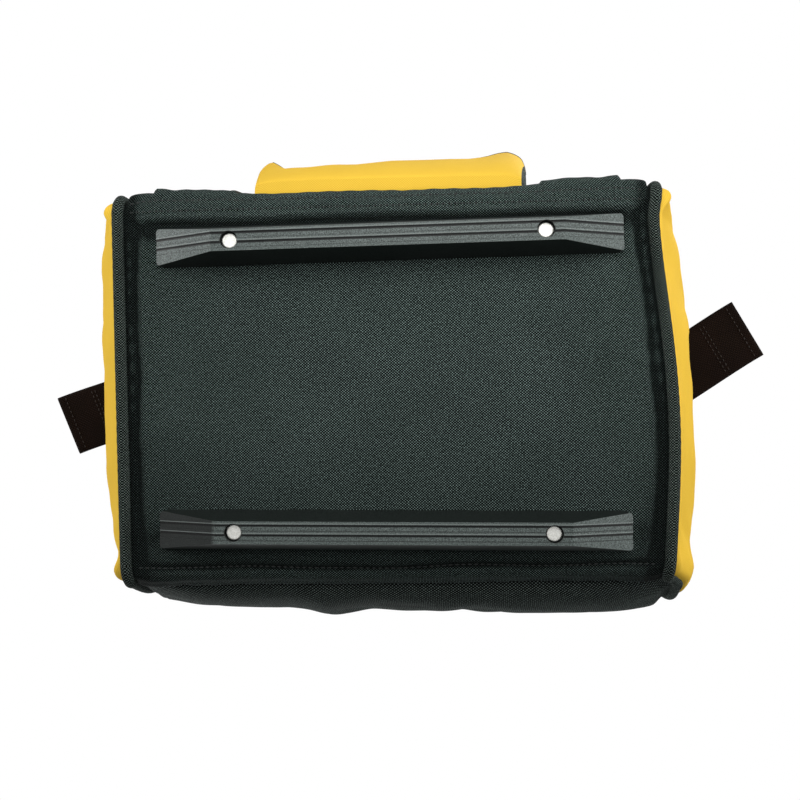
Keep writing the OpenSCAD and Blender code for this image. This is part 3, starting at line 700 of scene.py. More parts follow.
MATERIALS = {
    "base": cloth_material("base_cloth", rgb(4, 7, 6), rgb(146, 168, 162), uneven=0.7),
    "body": cloth_material("body_cloth", rgb(4, 6, 5), rgb(150, 166, 160), 1.25, uneven=0.7),
    "piping": cloth_material("piping_cloth", rgb(4, 6, 5), rgb(130, 144, 137), uneven=0.7),
    "yellow": cloth_material("yellow_cloth", rgb(236, 186, 52), rgb(252, 212, 84), 0.9, uneven=0.3,
                             depth=0.08 * MM, lint=0.0, broad=0.03, floor=0.0, contrast=1.0),
    "lining": cloth_material("lining_cloth", rgb(64, 68, 70), rgb(112, 116, 118), 0.6, uneven=0.3,
                             depth=0.08 * MM, lint=0.1, broad=0.1, floor=0.0, contrast=1.0),
    "grip": cloth_material("grip_cloth", rgb(10, 12, 12), rgb(104, 110, 109), 0.9, uneven=0.5),
    "binding": webbing_material("binding", rgb(10, 10, 10), rgb(46, 46, 45), 1.0 * MM, 0.8 * MM, 0.15 * MM),
    "webbing": webbing_material("webbing", rgb(12, 12, 12), rgb(58, 58, 56)),
    "tab": webbing_material("tab_webbing", rgb(5, 2, 1), rgb(32, 22, 17), 2.5 * MM, 1.5 * MM, specular=0.05),
    "tape": webbing_material("zip_tape", rgb(12, 12, 12), rgb(50, 50, 50), 0.9 * MM, 0.9 * MM, 0.12 * MM),
    "teeth": grained_material("zip_teeth", rgb(22, 22, 22), rgb(52, 52, 52), 0.35, 0.0),
    "black_thread": thread_material("black_thread", rgb(12, 14, 13), rgb(48, 53, 51)),
    "tab_thread": thread_material("tab_thread", rgb(14, 9, 7), rgb(46, 36, 31)),
    "yellow_thread": thread_material("yellow_thread", rgb(206, 158, 40), rgb(244, 206, 84)),
    # Two copies of the runner plastic: the dark one is painted shade on the walls, the paler tread is painted
    # light on the faces that look down.
    "runner": runner_material("runner_plastic", rgb(14, 17, 16), rgb(34, 39, 37)),
    "tread": runner_material("runner_tread_painted_light", rgb(50, 56, 54), rgb(118, 128, 125), tread=True),
    "rivet": grained_material("rivet_metal", rgb(206, 206, 199), rgb(240, 240, 235), 0.4, 0.5),
    "metal": grained_material("zip_metal", rgb(112, 112, 110), rgb(150, 150, 147), 0.28),
    "board": grained_material("board", rgb(48, 47, 46), rgb(70, 69, 67), 0.7, 0.0, 420.0, 0.5, 0.2 * MM),
}


def cloth_sheet(name, points, flip, material, slot, thickness, painted_shade=None):
    """One sheet of cloth over a grid of points. It rides on the bag's body and stands for a node."""
    piece = Piece()
    piece.grid(points, flip=flip, painted_shade=painted_shade)
    cloth = piece.build(name, [MATERIALS[material]], closed=False, lean=True)
    thicken(cloth, thickness)
    settle_in(cloth, "body", slot, name)


# The body's cloth

def along_share(x):
    """Share of a wall's bulge along the bag: 1 minus the sixth power of x over the half length."""
    return 1 - np.clip(np.abs(x) / PANEL_X, 0, 1) ** 6


def up_share(run, power=0.8):
    """Share of a wall's bulge up the wall: half a sine wave, fuller near the base."""
    return np.sin(math.pi * np.clip(run / PUFF_RUN, 0, 1) ** power)


def puff_out(side, bulge, x, run):
    """How far a wall's filling pushes it out. The rear one is fuller at its foot: there the power is less."""
    if side > 0:
        bulge = mix(bulge - 3 * MM, bulge, smooth((run - 30 * MM) / (60 * MM)))
        share = up_share(run, mix(0.6, 0.8, smooth(run / (70 * MM))))
        return bulge * fullness(x) * along_share(x) * share
    return bulge * along_share(x) * up_share(run)


def wall_place(x, run, out, side):
    """Point of a wall at x and a run up from the seam, moved out along its normal: up the straight side,
    then round the shoulder. side is 1 at the rear and -1 at the front."""
    turn = np.clip((run - SIDE_RUN) / SHOULDER_R, 0, None)
    reach = MOUTH_Y + (SHOULDER_R + out) * np.cos(turn)
    rise = SEAM_Z + np.minimum(run, SIDE_RUN) + (SHOULDER_R + out) * np.sin(turn)
    return join(x, side * reach, rise)


def wall_folds(x, run, seed):
    """Folds of a filled wall: broad dents, slanting creases, and gathers at the base seam and at both
    pipings."""
    edge = np.maximum(PANEL_X - np.abs(x), 0)
    free = smooth(edge / (30 * MM)) * smooth(run / (25 * MM)) * smooth((WALL_RUN - run) / (40 * MM))
    broad = 1.6 * MM * soft_noise(x, run, 70 * MM, seed) * free
    slant = 0.9 * MM * creases(x, run, 0.5, 16 * MM, 5, seed + 1) * free
    other = 0.7 * MM * creases(x, run, -0.7, 12 * MM, 6, seed + 2) * free
    end = 0.8 * MM * puckers(run, edge, 15 * MM, 15 * MM, seed + 3)
    foot = 0.35 * MM * puckers(x, run, 17 * MM, 14 * MM, seed + 4)
    return broad + slant + other + (end + foot) * smooth((WALL_RUN - run) / (20 * MM))


def fullness(x):
    """Share of the rear wall's bulge that the filling reaches: less in its left half, with a lump there."""
    lump = 0.11 * bell(x + 46 * MM, 12 * MM) - 0.06 * bell(x + 17 * MM, 12 * MM)
    return 1 - 0.13 * smooth((-x - 10 * MM) / (70 * MM)) + lump + 0.05 * smooth((x - 40 * MM) / (30 * MM))


def wall_grid(side, bulge, seed, inset, columns, rows):
    """Points of a wall over its whole face, moved in by an inset, and the height of its folds there."""
    x = np.linspace(-CLOTH_X, CLOTH_X, columns)[None]
    run = np.linspace(0, WALL_RUN, rows)[:, None]
    folds = wall_folds(x, run, seed)
    return wall_place(x, run, puff_out(side, bulge, x, run) + folds - inset, side), folds


def wall_panel(name, side, bulge, seed):
    """Cloth of a wall, with painted shade in its deeper folds."""
    points, folds = wall_grid(side, bulge, seed, 0, 191, 121)
    painted_shade = 0.8 * smooth((-folds - 0.3 * MM) / (2.4 * MM))
    cloth_sheet(name, points, side < 0, "body", "body_cloth", 1.4 * MM, painted_shade)


def wall_lining(name, side, bulge, seed):
    """Lining of a wall, further in towards the ends, where the wall slants."""
    slant = np.abs(np.linspace(-1, 1, 81))[None] ** 5
    points, _ = wall_grid(side, bulge, seed, (PANEL_T + 0.5 * MM) * (1 + 1.4 * slant), 81, 61)
    cloth_sheet(name, points, side < 0, "lining", "lining_cloth", 0.6 * MM)


def strap_bump(x):
    """Rise of the front hem over a strap's end, with a steep step at both of its edges."""
    a = np.abs(x) - STRAP_X + 3.5 * MM
    rise = smooth((a + STRAP_W / 2) / (2.0 * MM)) * (1 - smooth((a - STRAP_W / 2 + 0.5 * MM) / (2.4 * MM)))
    return rise * (1 + 0.25 * a / (25 * MM))


def base_section(s):
    """Point and outward normal [y, z] of the base at a distance along its section from the front seam:
    a quarter round fold, the flat, and the other fold."""
    fold = BASE_R * math.pi / 2
    flat = 2 * (HALF_W - BASE_R)
    front = np.clip(s / BASE_R, 0, math.pi / 2)
    rear = np.clip((s - fold - flat) / BASE_R, 0, math.pi / 2)
    turn = math.pi - front
    y = -(HALF_W - BASE_R) + np.clip(s - fold, 0, flat)
    y = np.where(s < fold, -(HALF_W - BASE_R) + BASE_R * np.cos(turn), y)
    y = np.where(s > fold + flat, HALF_W - BASE_R + BASE_R * np.sin(rear), y)
    z = np.where(s < fold, SEAM_Z - BASE_R * np.sin(turn), BASE_Z)
    z = np.where(s > fold + flat, SEAM_Z - BASE_R * np.cos(rear), z)
    ny = np.where(s < fold, np.cos(turn), np.where(s > fold + flat, np.sin(rear), 0.0))
    nz = np.where(s < fold, -np.sin(turn), np.where(s > fold + flat, -np.cos(rear), -1.0))
    return y, z, ny, nz


BASE_RUN = 2 * (HALF_W - BASE_R) + BASE_R * math.pi


def seam_wander(x):
    """How the lines along the base wander, from -1 to 1."""
    return soft_noise(x, x * 0, 45 * MM, 11)


def base_relief(x, s):
    """Height of the base cloth over its plain section. Bells across it make the front hem's lip and roll, the
    valley behind them, the rear roll and its stitch line, and the edge of the board; a falling exponential
    makes the groove beside the pipings. Noise adds sag and folds. What lies low is held by a tanh."""
    edge = np.maximum(PANEL_X - np.abs(x), 0)
    rear = BASE_RUN - s
    wander = 1.2 * MM * seam_wander(x)
    lip = (2.4 + 2.2 * smooth((x - 60 * MM) / (60 * MM)) + 1.2 * smooth((-x - 70 * MM) / (60 * MM))) * MM
    lip = lip * bell(s - 4.5 * MM, 5 * MM) * smooth(edge / (2.5 * MM))
    roll = 0.9 * MM * bell(s - 13 * MM, 4 * MM) + 1.5 * MM * bell(s - 20.5 * MM - 0.5 * wander, 2.2 * MM)
    roll = roll * smooth(edge / (12 * MM))
    valley = -2.0 * MM * bell(s - 26.5 * MM - wander, 4.2 * MM) * smooth(edge / (22 * MM))
    bumps = 2.3 * MM * strap_bump(x) * (1 - smooth((s - 4 * MM) / (9 * MM)))
    rear_roll = 1.7 * MM * bell(rear - 26 * MM - wander, 6 * MM) * smooth(edge / (25 * MM))
    stitch_line = -1.6 * MM * bell(rear - REAR_STITCH - 1.4 * wander, 1.6 * MM) * smooth(edge / (14 * MM))
    hem = 0.8 * MM * smooth((15 * MM - rear) / (1.5 * MM)) + 1.1 * MM * bell(rear - 2.4 * MM, 1.4 * MM)
    hem = hem + 0.5 * MM * bell(rear - 9 * MM - wander, 2 * MM)
    bend = 1.6 * MM * soft_noise(s, x * 0, 38 * MM, 17)
    board_edge = 1.1 * MM * bell(edge - 10.5 * MM - bend, 2.4 * MM)
    board_edge = board_edge - 1.4 * MM * bell(edge - 5.5 * MM - bend, 2.2 * MM)
    board_edge = board_edge * smooth((s - 14 * MM) / (20 * MM)) * smooth((rear - 14 * MM) / (20 * MM))
    groove = -2.2 * MM * np.exp(-edge / (1.6 * MM))
    middle = smooth(edge / (40 * MM)) * smooth(s / (60 * MM)) * smooth(rear / (60 * MM))
    sag = 0.35 * MM * soft_noise(x, s, 60 * MM, 12) * middle
    near = np.exp(-edge / (30 * MM)) + np.exp(-s / (28 * MM)) + np.exp(-rear / (28 * MM))
    folds = 0.55 * MM * creases(x, s, 0.9 * math.pi, 9 * MM, 4, 13) * np.clip(near, 0, 1)
    folds = folds * smooth(edge / (6 * MM))
    corners = np.exp(-edge / (34 * MM)) * (np.exp(-s / (34 * MM)) + np.exp(-rear / (34 * MM)))
    slant = 1.7 * MM * creases(np.abs(x), np.minimum(s, rear), -0.8, 8 * MM, 4, 14) * corners
    slant = slant * smooth(edge / (5 * MM))
    ends = 0.4 * MM * puckers(s, edge, 11 * MM, 9 * MM, 15) * smooth(edge / (2 * MM))
    seams = 0.3 * MM * puckers(x, np.minimum(s, rear), 13 * MM, 9 * MM, 16)
    rise = lip + roll + valley + bumps + rear_roll + stitch_line + hem + board_edge + groove
    rise = rise + sag + folds + slant + ends + seams
    limit = 1.1 * MM
    return np.where(rise < -limit, -limit - 0.7 * MM * np.tanh((-limit - rise) / (0.7 * MM)), rise)


def base_painted_shade(x, s):
    """Painted shade on the base cloth, from 0 to 1: in its dents, the valley behind the front hem, the fold
    in front of the rear hem, the strips beside the pipings and the corners, and darker towards the rear and
    the left."""
    edge = PANEL_X - np.abs(x)
    rear = BASE_RUN - s
    wander = 1.2 * MM * seam_wander(x)
    valley = 0.95 * bell(s - 28 * MM - wander, 6.5 * MM) * smooth(edge / (16 * MM))
    valley = valley + 0.12 * smooth((20 * MM - s) / (6 * MM))
    fold = 0.5 * bell(rear - 17 * MM - wander, 2.6 * MM) + 0.25 * bell(rear - 34 * MM, 7 * MM)
    strip = 0.6 * bell(edge - 5 * MM, 3.6 * MM) + 0.7 * bell(edge, 1.5 * MM)
    corners = 0.95 * np.exp(-edge / (26 * MM) - rear / (30 * MM))
    corners = corners + 0.35 * np.exp(-edge / (22 * MM) - s / (22 * MM))
    # Painted shade, darker towards the rear and the left.
    broad = 0.25 * smooth((120 * MM - rear) / (90 * MM)) + 0.14 * smooth((-x - 50 * MM) / (80 * MM))
    dents = 0.9 * smooth((-base_relief(x, s) - 0.1 * MM) / (1.5 * MM))
    return np.clip(dents + valley + fold + strip + corners + broad, 0, 1)


def base_grid(x, s):
    """Points and normals of the base cloth at x and a distance s along its section."""
    y, z, ny, nz = base_section(s)
    rise = base_relief(x, s)
    points = join(x, y + ny * rise, z + nz * rise)
    normals = join(x * 0, ny, nz)
    return points, normals


def base_cloth():
    """Cloth of the base, with two stitch lines along its front hem and one along its rear fold."""
    x = np.linspace(-CLOTH_X, CLOTH_X, 281)[None]
    s = np.linspace(0, BASE_RUN, 225)[:, None]
    piece = Piece()
    piece.grid(base_grid(x, s)[0], flip=True, painted_shade=base_painted_shade(x, s))
    inset = 3 * MM
    line = np.linspace(-PANEL_X + inset, PANEL_X - inset, 260)
    rear_line = BASE_RUN - REAR_STITCH - 1.7 * MM * seam_wander(line)
    for run in [np.full(260, stitches) for stitches in FRONT_STITCHES] + [rear_line]:
        sew(piece, *base_grid(line, run), 1)
    cloth = piece.build("base_panel", [MATERIALS["base"], MATERIALS["black_thread"]], closed=False, lean=True)
    settle_in(cloth, "body", "base_cloth", "base_panel")


# The ends

def half_width(z):
    """Half width of the end outline at a height: two corner arcs and the straight side between them."""
    low = np.clip(SEAM_Z - z, 0, BASE_R)
    high = np.clip(z - SHOULDER_Z, 0, SHOULDER_R)
    in_low = BASE_R - np.sqrt(np.clip(BASE_R ** 2 - low ** 2, 0, None))
    in_high = SHOULDER_R - np.sqrt(np.clip(SHOULDER_R ** 2 - high ** 2, 0, None))
    return HALF_W - in_low - in_high


def end_heights(low_rows, side_rows, high_rows):
    """Heights for the rows of an end panel, even in angle round the two corner arcs."""
    low = SEAM_Z - BASE_R * np.cos(np.linspace(0, math.pi / 2, low_rows + 1))[:-1]
    side = np.linspace(SEAM_Z, SHOULDER_Z, side_rows + 1)[:-1]
    high = SHOULDER_Z + SHOULDER_R * np.sin(np.linspace(0, math.pi / 2, high_rows + 1))
    return np.concatenate([low, side, high])


# How far each dome stands out beyond its plain shape, in millimetres, at places from front to rear
TRIM_Y = np.array([-116, -103, -89, -76, -62, -48, -35, 0, 46, 60, 74, 87, 101, 116]) * MM
RIGHT_TRIM = np.array([3, 1.5, -0.7, -1.8, -1.5, -0.9, 0.6, 0.4, -0.7, -2.4, -2.7, -0.4, 5.6, 3.0]) * MM
LEFT_TRIM = np.array([5, 6.2, 1.6, -0.7, -1.4, -0.5, 0.6, 0.6, 0.2, -2.2, -1.8, 1.3, 5.6, 4.5]) * MM
# How far the edges of each dome stand out at the front and at the rear
RIGHT_BRIM = (5.2 * MM, 2.5 * MM)
LEFT_BRIM = (5.5 * MM, 4.5 * MM)


def end_puff(side, y, up):
    """Stand of an end's dome at y and at a height share from -1 to 1: 1 minus a power of y's share, 14 in
    front and 6 at the rear, times 1 minus a power of the height's. That one is low under the middle, where
    the cloth runs up almost straight from the piping."""
    power = np.where(up < 0, 1.4 if side < 0 else 1.8, 3.0)
    most = (36 if side < 0 else 32) * MM
    across = np.clip(np.abs(y) / HALF_W, 0, 1) ** np.where(y < 0, 14.0, 6.0)
    trim = np.interp(y, TRIM_Y, RIGHT_TRIM if side > 0 else LEFT_TRIM) * (1 - np.clip(np.abs(up), 0, 1) ** 4)
    return most * (1 - across) * (1 - np.clip(np.abs(up), 0, 1) ** power) + trim


def end_grid(side, inset, depth, tuck, folds, columns=121):
    """Dome of an end: rows at each height, as wide as the outline there, with dents, slanting creases and
    gathers at the piping that only go inwards. Its rim is tucked in beside the piping."""
    z_line = end_heights(12, 90, 20)[:, None]
    a = np.sin(np.linspace(-1, 1, columns) * math.pi / 2 * 0.94)[None]
    a = a / a.max()
    y = a * (half_width(z_line) - inset)
    up = (z_line - MIDDLE_Z) / ((TOP_Z - BASE_Z) / 2)
    z = MIDDLE_Z + (z_line - MIDDLE_Z) * (1 - inset / ((TOP_Z - BASE_Z) / 2))
    z = z + CROWN * (1 - np.clip(np.abs(y) / MOUTH_Y, 0, 1) ** 2) * smooth((up - 0.4) / 0.6)
    share = np.clip((np.abs(a) ** 8 + np.abs(up) ** 8) ** (1 / 8), 0, 1)
    puff = end_puff(side, y, up) * (1 - share ** 10)
    brim = np.where(y < 0, *(RIGHT_BRIM if side > 0 else LEFT_BRIM))
    rim = np.clip((np.abs(a) ** 30 + np.abs(up) ** 30) ** (1 / 30), 0, 1)
    brim = brim * smooth((np.abs(y) / HALF_W - 0.84) / 0.1) * (1 - rim ** 60)
    puff = puff + brim * smooth((0.9 - up) / 0.6)
    edge = (1 - share) * 100 * MM
    turn = np.arctan2(z - MIDDLE_Z, y)
    free = smooth(edge / (22 * MM))
    waves = 0.8 * MM * (puckers(turn * 110 * MM, edge, 16 * MM, 11 * MM, 21) - 1) * smooth(edge / (4 * MM))
    broad = 1.4 * MM * (soft_noise(y, z, 62 * MM, 22) - 1) * free
    slant = 0.7 * MM * (creases(y, z, 1.0, 13 * MM, 5, 23) + creases(y, z, -0.9, 17 * MM, 5, 24) - 2) * free
    x = END_X + depth - tuck * rim ** 100 + puff + folds * (waves * np.exp(-edge / (12 * MM)) + broad + slant)
    return join(side * x, y, z)


def end_panel(name, side):
    """Yellow cloth of an end."""
    points = end_grid(side, 0, PANEL_T, 4 * MM, 1.0)
    cloth_sheet(name, points, side > 0, "yellow", "yellow_cloth", 1.8 * MM)


def end_lining(name, side):
    """Lining of an end, inside the piping."""
    points = end_grid(side, PIPING_R, -0.5 * MM, 7 * MM, 0.6, 61)[::2]
    cloth_sheet(name, points, side > 0, "lining", "lining_cloth", 0.6 * MM)


def outline_loop(count):
    """Closed loop round an end in [y, z], evenly spaced, with its outward normals."""
    z = end_heights(14, 60, 22)
    right = join(half_width(z), z)
    top_y = np.linspace(MOUTH_Y, -MOUTH_Y, 42)[1:-1]
    top = join(top_y, TOP_Z + CROWN * (1 - (top_y / MOUTH_Y) ** 2))
    left = right[::-1] * np.array([-1, 1])
    low_y = np.linspace(-(HALF_W - BASE_R), HALF_W - BASE_R, 42)[1:]
    bottom = join(low_y, np.full(41, BASE_Z))
    loop = np.concatenate([right, top, left, bottom])
    run = np.concatenate([[0], np.cumsum(np.linalg.norm(np.diff(loop, axis=0), axis=1))])
    at = np.linspace(0, run[-1], count)
    even = join(np.interp(at, run, loop[:, 0]), np.interp(at, run, loop[:, 1]))
    tangent = np.gradient(even, axis=0)
    tangent[0] = tangent[-1] = even[1] - even[-2]
    tangent = unit(tangent)
    return even, join(tangent[:, 1], -tangent[:, 0]), at


def end_piping(name, side):
    """Round tube along the end outline, with small gathers in its cover."""
    loop, normal, at = outline_loop(521)
    turn = np.linspace(0, 2 * math.pi, 17)[None]
    gather = 0.12 * MM * puckers(at, at * 0, 6.3 * MM, 1.0, 31)
    gather[-1] = gather[0]
    r = (PIPING_R + gather)[:, None]
    x = side * PIPING_X + r * np.sin(turn)
    y = loop[:, :1] + r * np.cos(turn) * normal[:, :1]
    z = loop[:, 1:] + r * np.cos(turn) * normal[:, 1:]
    points = join(x, y, z)
    uv = join(turn * PIPING_R, at[:, None])
    piece = Piece()
    piece.grid(points, uv)
    cloth = piece.build(name, [MATERIALS["piping"]], lean=True)
    settle_in(cloth, "body", "piping_cloth", name)


# The pocket

def front_skin(x, z):
    """Distance of the front wall from the middle."""
    return HALF_W + FRONT_BULGE * along_share(x) * up_share(z - SEAM_Z)


# Extra stand of the pocket's hem at places along it, where the hem is wavy
HEM_X = np.array([-92, -88, -83, -70, -57, -44, 5, 39, 51, 66, 79, 89, 92]) * MM
HEM_OUT = np.array([0.5, 5, 6.5, -5.8, -4.9, -3.4, 0.0, 1.6, 1.0, 3.8, 8.2, 8.6, 6]) * MM


def pocket_place(share, v):
    """Point of the pocket's face: share from 0 to 1 round it, v from 0 at its foot to 1 at its hem.
    Its plan is a superellipse whose depth grows with height to the power 0.7."""
    turn = math.pi * share
    z = mix(POCKET_LOW_Z, POCKET_Z, np.clip((v - 0.06) / 0.94, 0, 1))
    rise = np.clip((z - POCKET_LOW_Z) / (POCKET_Z - POCKET_LOW_Z), 0, 1)
    side = mix(POCKET_FOOT, POCKET_HALF, rise)
    x = side * sign_pow(-np.cos(turn), 0.36)
    wave = np.interp(x, HEM_X, HEM_OUT) * rise ** 1.5
    depth = mix(10 * MM, 28 * MM, rise ** 0.7) + wave
    depth = depth * smooth(np.clip(v / 0.06, 0, 1)) ** 0.5
    plan = np.abs(np.sin(turn)) ** 0.3
    fold = 0.7 * MM * creases(x, z, 1.3, 14 * MM, 4, 41) + 0.9 * MM * soft_noise(x, z, 45 * MM, 42)
    y = -(front_skin(side, z) + 0.5 * MM) - (depth + fold * smooth(v / 0.3)) * plan
    z = z + 1.0 * MM * soft_noise(x, y, 30 * MM, 43) * smooth((v - 0.8) / 0.2)
    return join(x, y, z)


def pocket():
    """The front pocket with a black gusset at its right, two stitch lines under its hem, and the binding."""
    share = (1 - np.cos(np.linspace(0, math.pi, 171))) / 2
    share = mix(np.linspace(0, 1, 171), share, 0.6)[None]
    v = np.concatenate([np.linspace(0, 0.06, 6)[:-1], np.linspace(0.06, 1, 60)])[:, None]
    points = pocket_place(share, v)
    gusset = np.broadcast_to(share[:, :-1] > 0.93, points[:-1, :-1, 0].shape)
    piece = Piece()
    piece.grid(points, flip=True, where=gusset)
    cloth = piece.build("front_pocket", [MATERIALS["yellow"], MATERIALS["body"]], closed=False, lean=True)
    thicken(cloth, POCKET_T)
    settle_in(cloth, "body", "yellow_cloth", "front_pocket")

    line = np.linspace(0.035, 0.965, 300)
    seams = Piece()
    for at in (0.93, 0.90):
        path = pocket_place(line, np.full(300, at))
        above = pocket_place(line, np.full(300, at + 0.03))
        normals = np.cross(above - path, np.gradient(path, axis=0))
        sew(seams, path, unit(normals), 0, radius=FINE_STITCH_R)
    thread = seams.build("pocket_stitching", [MATERIALS["yellow_thread"]], lean=True)
    settle_in(thread, "body", "yellow_cloth")

    edge = pocket_place(line, np.full(300, 1.0))
    run = unit(np.gradient(edge, axis=0))
    up = np.broadcast_to(np.array([0.0, 0.0, 1.0]), run.shape)
    out = unit(np.cross(run, up))
    out = out * np.where(out[:, 1:2] > 0, -1, 1)
    middle = edge - out * POCKET_T / 2
    turn = np.linspace(0, 2 * math.pi, 13)[None, :, None]
    rings = (middle[:, None] + out[:, None] * 1.15 * MM * sign_pow(np.cos(turn), 0.7)
             + up[:, None] * (0.6 * MM + 1.6 * MM * sign_pow(np.sin(turn), 0.7)))
    hem = Piece()
    add_band(hem, rings[:, :-1])
    bound = hem.build("pocket_binding", [MATERIALS["binding"]], lean=True)
    settle_in(bound, "body", "binding", "pocket_binding")


# Straps and handles

def fold_y(bulge):
    """Outer face of a strap at its top, where its handle folds."""
    share = max(along_share(STRAP_X - STRAP_W / 2), along_share(STRAP_X + STRAP_W / 2))
    return HALF_W + STRAP_GAP + STRAP_T + bulge * up_share(SIDE_RUN) * share


def strap_y(side, bulge, place, z, through):
    """Distance of a strap from the middle: on the wall's bulge low down, and flat at the handle's fold near
    its top. The foot of a rear strap is pressed in a little."""
    puff = puff_out(side, REAR_PUFF if side > 0 else bulge, place, z - SEAM_Z)
    skin = HALF_W + STRAP_GAP + STRAP_T / 2 + puff
    pressed = 1.8 * MM * (1 - smooth((z - REAR_STRAP_Z) / (22 * MM))) if side > 0 else 0 * z
    rise = smooth((z - SHOULDER_Z + 45 * MM) / (45 * MM))
    return mix(skin, fold_y(bulge) - STRAP_T / 2, rise) + through - pressed


def strap_rings(side, bulge, x, heights, section):
    """Rings of a strap at some heights."""
    place, z = x + section[None, :, 0], heights[:, None]
    y = strap_y(side, bulge, place, z, section[None, :, 1])
    return join(place, side * y, z)


def strap_face(side, bulge, place, z):
    """Points of a strap's outer face, with normals."""
    y = strap_y(side, bulge, place, z, STRAP_T / 2)
    points = join(place, side * y, z)
    return points, np.broadcast_to(np.array([0.0, side, 0.0]), points.shape)


STRAP_TOP = SHOULDER_Z - 10 * MM


def strap(name, side, bulge, x, low_z):
    """Webbing strap with a stitch line along both edges and a crossed box below its top."""
    heights = np.linspace(low_z, STRAP_TOP, 70)
    piece = Piece()
    add_band(piece, strap_rings(side, bulge, x, heights, band_section(STRAP_W, STRAP_T, 13)))
    edge = STRAP_W / 2 - 3 * MM
    line = np.linspace(low_z + (14 if side > 0 else 3) * MM, STRAP_TOP - 1 * MM, 120)
    for a in (-edge, edge):
        sew(piece, *strap_face(side, bulge, x + np.full(120, a), line), 1)
    low, high = max(SHOULDER_Z - 70 * MM, low_z + 8 * MM), SHOULDER_Z - 26 * MM
    t = np.linspace(0, 1, 40)
    for z0, z1 in ((low, low), (high, high), (low, high), (high, low)):
        sew(piece, *strap_face(side, bulge, x + mix(-edge, edge, t), mix(z0, z1, t)), 1)
    band = piece.build(name, [MATERIALS["webbing"], MATERIALS["black_thread"]], lean=True)
    settle_in(band, "body", "webbing", name)


def arch_point(turn):
    """Middle of a handle in [x, height] over its arch, a superellipse of power 2.6."""
    x = STRAP_X * sign_pow(np.cos(turn), 2 / HANDLE_POWER)
    return join(x, HANDLE_RISE * np.abs(np.sin(turn)) ** (2 / HANDLE_POWER))


def arch(turn):
    """Middle of a handle over its arch, with its outward normal."""
    step = math.radians(1)
    run = arch_point(np.minimum(turn + step, math.pi)) - arch_point(np.maximum(turn - step, 0))
    out = unit(join(run[:, 1], -run[:, 0]))
    out[turn < 1e-6] = (1, 0)
    out[turn > math.pi - 1e-6] = (-1, 0)
    return arch_point(turn), out


def on_fold(points, side, bulge):
    """Places a handle's own frame on its fold, leaning towards the zip."""
    x, y, z = points[..., 0], points[..., 1] - STRAP_T / 2, points[..., 2] + 0.3 * MM
    c, s = math.cos(HANDLE_LEAN), math.sin(HANDLE_LEAN)
    return join(x, side * (fold_y(bulge) + y * c - z * s), SHOULDER_Z + y * s + z * c)


def handle_section():
    """Ring of a handle's webbing, with its width and its thickness both made 1."""
    return band_section(1.0, 0.06, 9) / np.array([1.0, 0.06])


def arch_rings(turn, side, bulge):
    """Rings over the arch: the webbing twists a quarter turn as it rises and is folded narrower for the
    grip."""
    place, out = arch(turn)
    rise = place[:, 1]
    twist = -math.pi / 2 * smooth(rise / TWIST_H)
    gather = smooth(rise / (GATHER_SHARE * HANDLE_RISE))
    section = handle_section()
    across = section[None, :, 0] * mix(STRAP_W, CORE_W, gather)[:, None]
    through = section[None, :, 1] * mix(STRAP_T, CORE_T, gather)[:, None]
    c, s = np.cos(twist)[:, None], np.sin(twist)[:, None]
    flat = across * c - through * s
    deep = across * s + through * c
    x = place[:, :1] + out[:, :1] * flat
    z = place[:, 1:] + out[:, 1:] * flat
    return on_fold(join(x, deep, z), side, bulge)


def handle(name, side, bulge):
    """Webbing of a handle from one strap's top over the arch to the other's."""
    turn = math.pi * mix(np.linspace(0, 1, 181), smooth(np.linspace(0, 1, 181)), 0.5)
    section = handle_section() * np.array([STRAP_W, STRAP_T])
    heights = np.linspace(STRAP_TOP, SHOULDER_Z - 0.5 * MM, 14)
    right = strap_rings(side, bulge, STRAP_X, heights, section)
    left = strap_rings(side, bulge, -STRAP_X, heights, section * np.array([-1, 1]))[::-1]
    piece = Piece()
    add_band(piece, np.concatenate([right, arch_rings(turn, side, bulge), left]))
    band = piece.build(name, [MATERIALS["webbing"]])
    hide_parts(name)
    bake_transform(band)


def grip(name, body, side, bulge):
    """Padded sleeve round a handle's middle, quilted across in four places and closed by a seam with two
    stitch lines. Its ends close by the square root of 1 minus the place's fourteenth power."""
    reach = math.acos((GRIP_L / (2 * STRAP_X)) ** (HANDLE_POWER / 2))
    place, out = arch(np.linspace(reach, math.pi - reach, 90))
    share = np.linspace(-1, 1, 90)
    round_end = np.sqrt(np.clip(1 - np.abs(share) ** 14, 0.0, 1))
    quilt = 1 - 0.05 * sum(bell(share - k, 0.03) for k in (-0.62, -0.2, 0.2, 0.62))
    angle = np.linspace(0, 2 * math.pi, 41)[None]
    puffed = (mix(0.72, 1.0, round_end) * quilt)[:, None]
    seam = 1 - 0.08 * bell(np.abs(angle - 1.5 * math.pi), 0.10)
    across = GRIP_W / 2 * puffed * sign_pow(np.cos(angle), 0.55)
    through = GRIP_T / 2 * puffed * seam * sign_pow(np.sin(angle), 0.62)
    x = place[:, :1] + out[:, :1] * through
    z = place[:, 1:] + out[:, 1:] * through
    points = on_fold(join(x, across, z), side, bulge)
    sleeve = Piece()
    sleeve.grid(points, join(angle * 14 * MM, (share * GRIP_L / 2)[:, None]))
    for k in (0, -1):
        inner = place[k] + out[k] * through[k][:, None] * 0.35
        inner = on_fold(join(inner[:, 0], across[k] * 0.82, inner[:, 1]), side, bulge)
        sleeve.grid(np.stack([points[k], inner]))
    low = np.argmin(np.abs(angle[0] - 1.5 * math.pi))
    middle = on_fold(join(place[:, 0], 0 * place[:, 0], place[:, 1]), side, bulge)[4:-4]
    for shift in (-2, 2):
        path = points[4:-4, low + shift]
        sew(sleeve, path, unit(path - middle), 1, radius=FINE_STITCH_R)
    sleeve = sleeve.build(name, [MATERIALS["grip"], MATERIALS["black_thread"]])
    settle_in(sleeve, body, "grip_cloth", name)


# Top flaps and zip

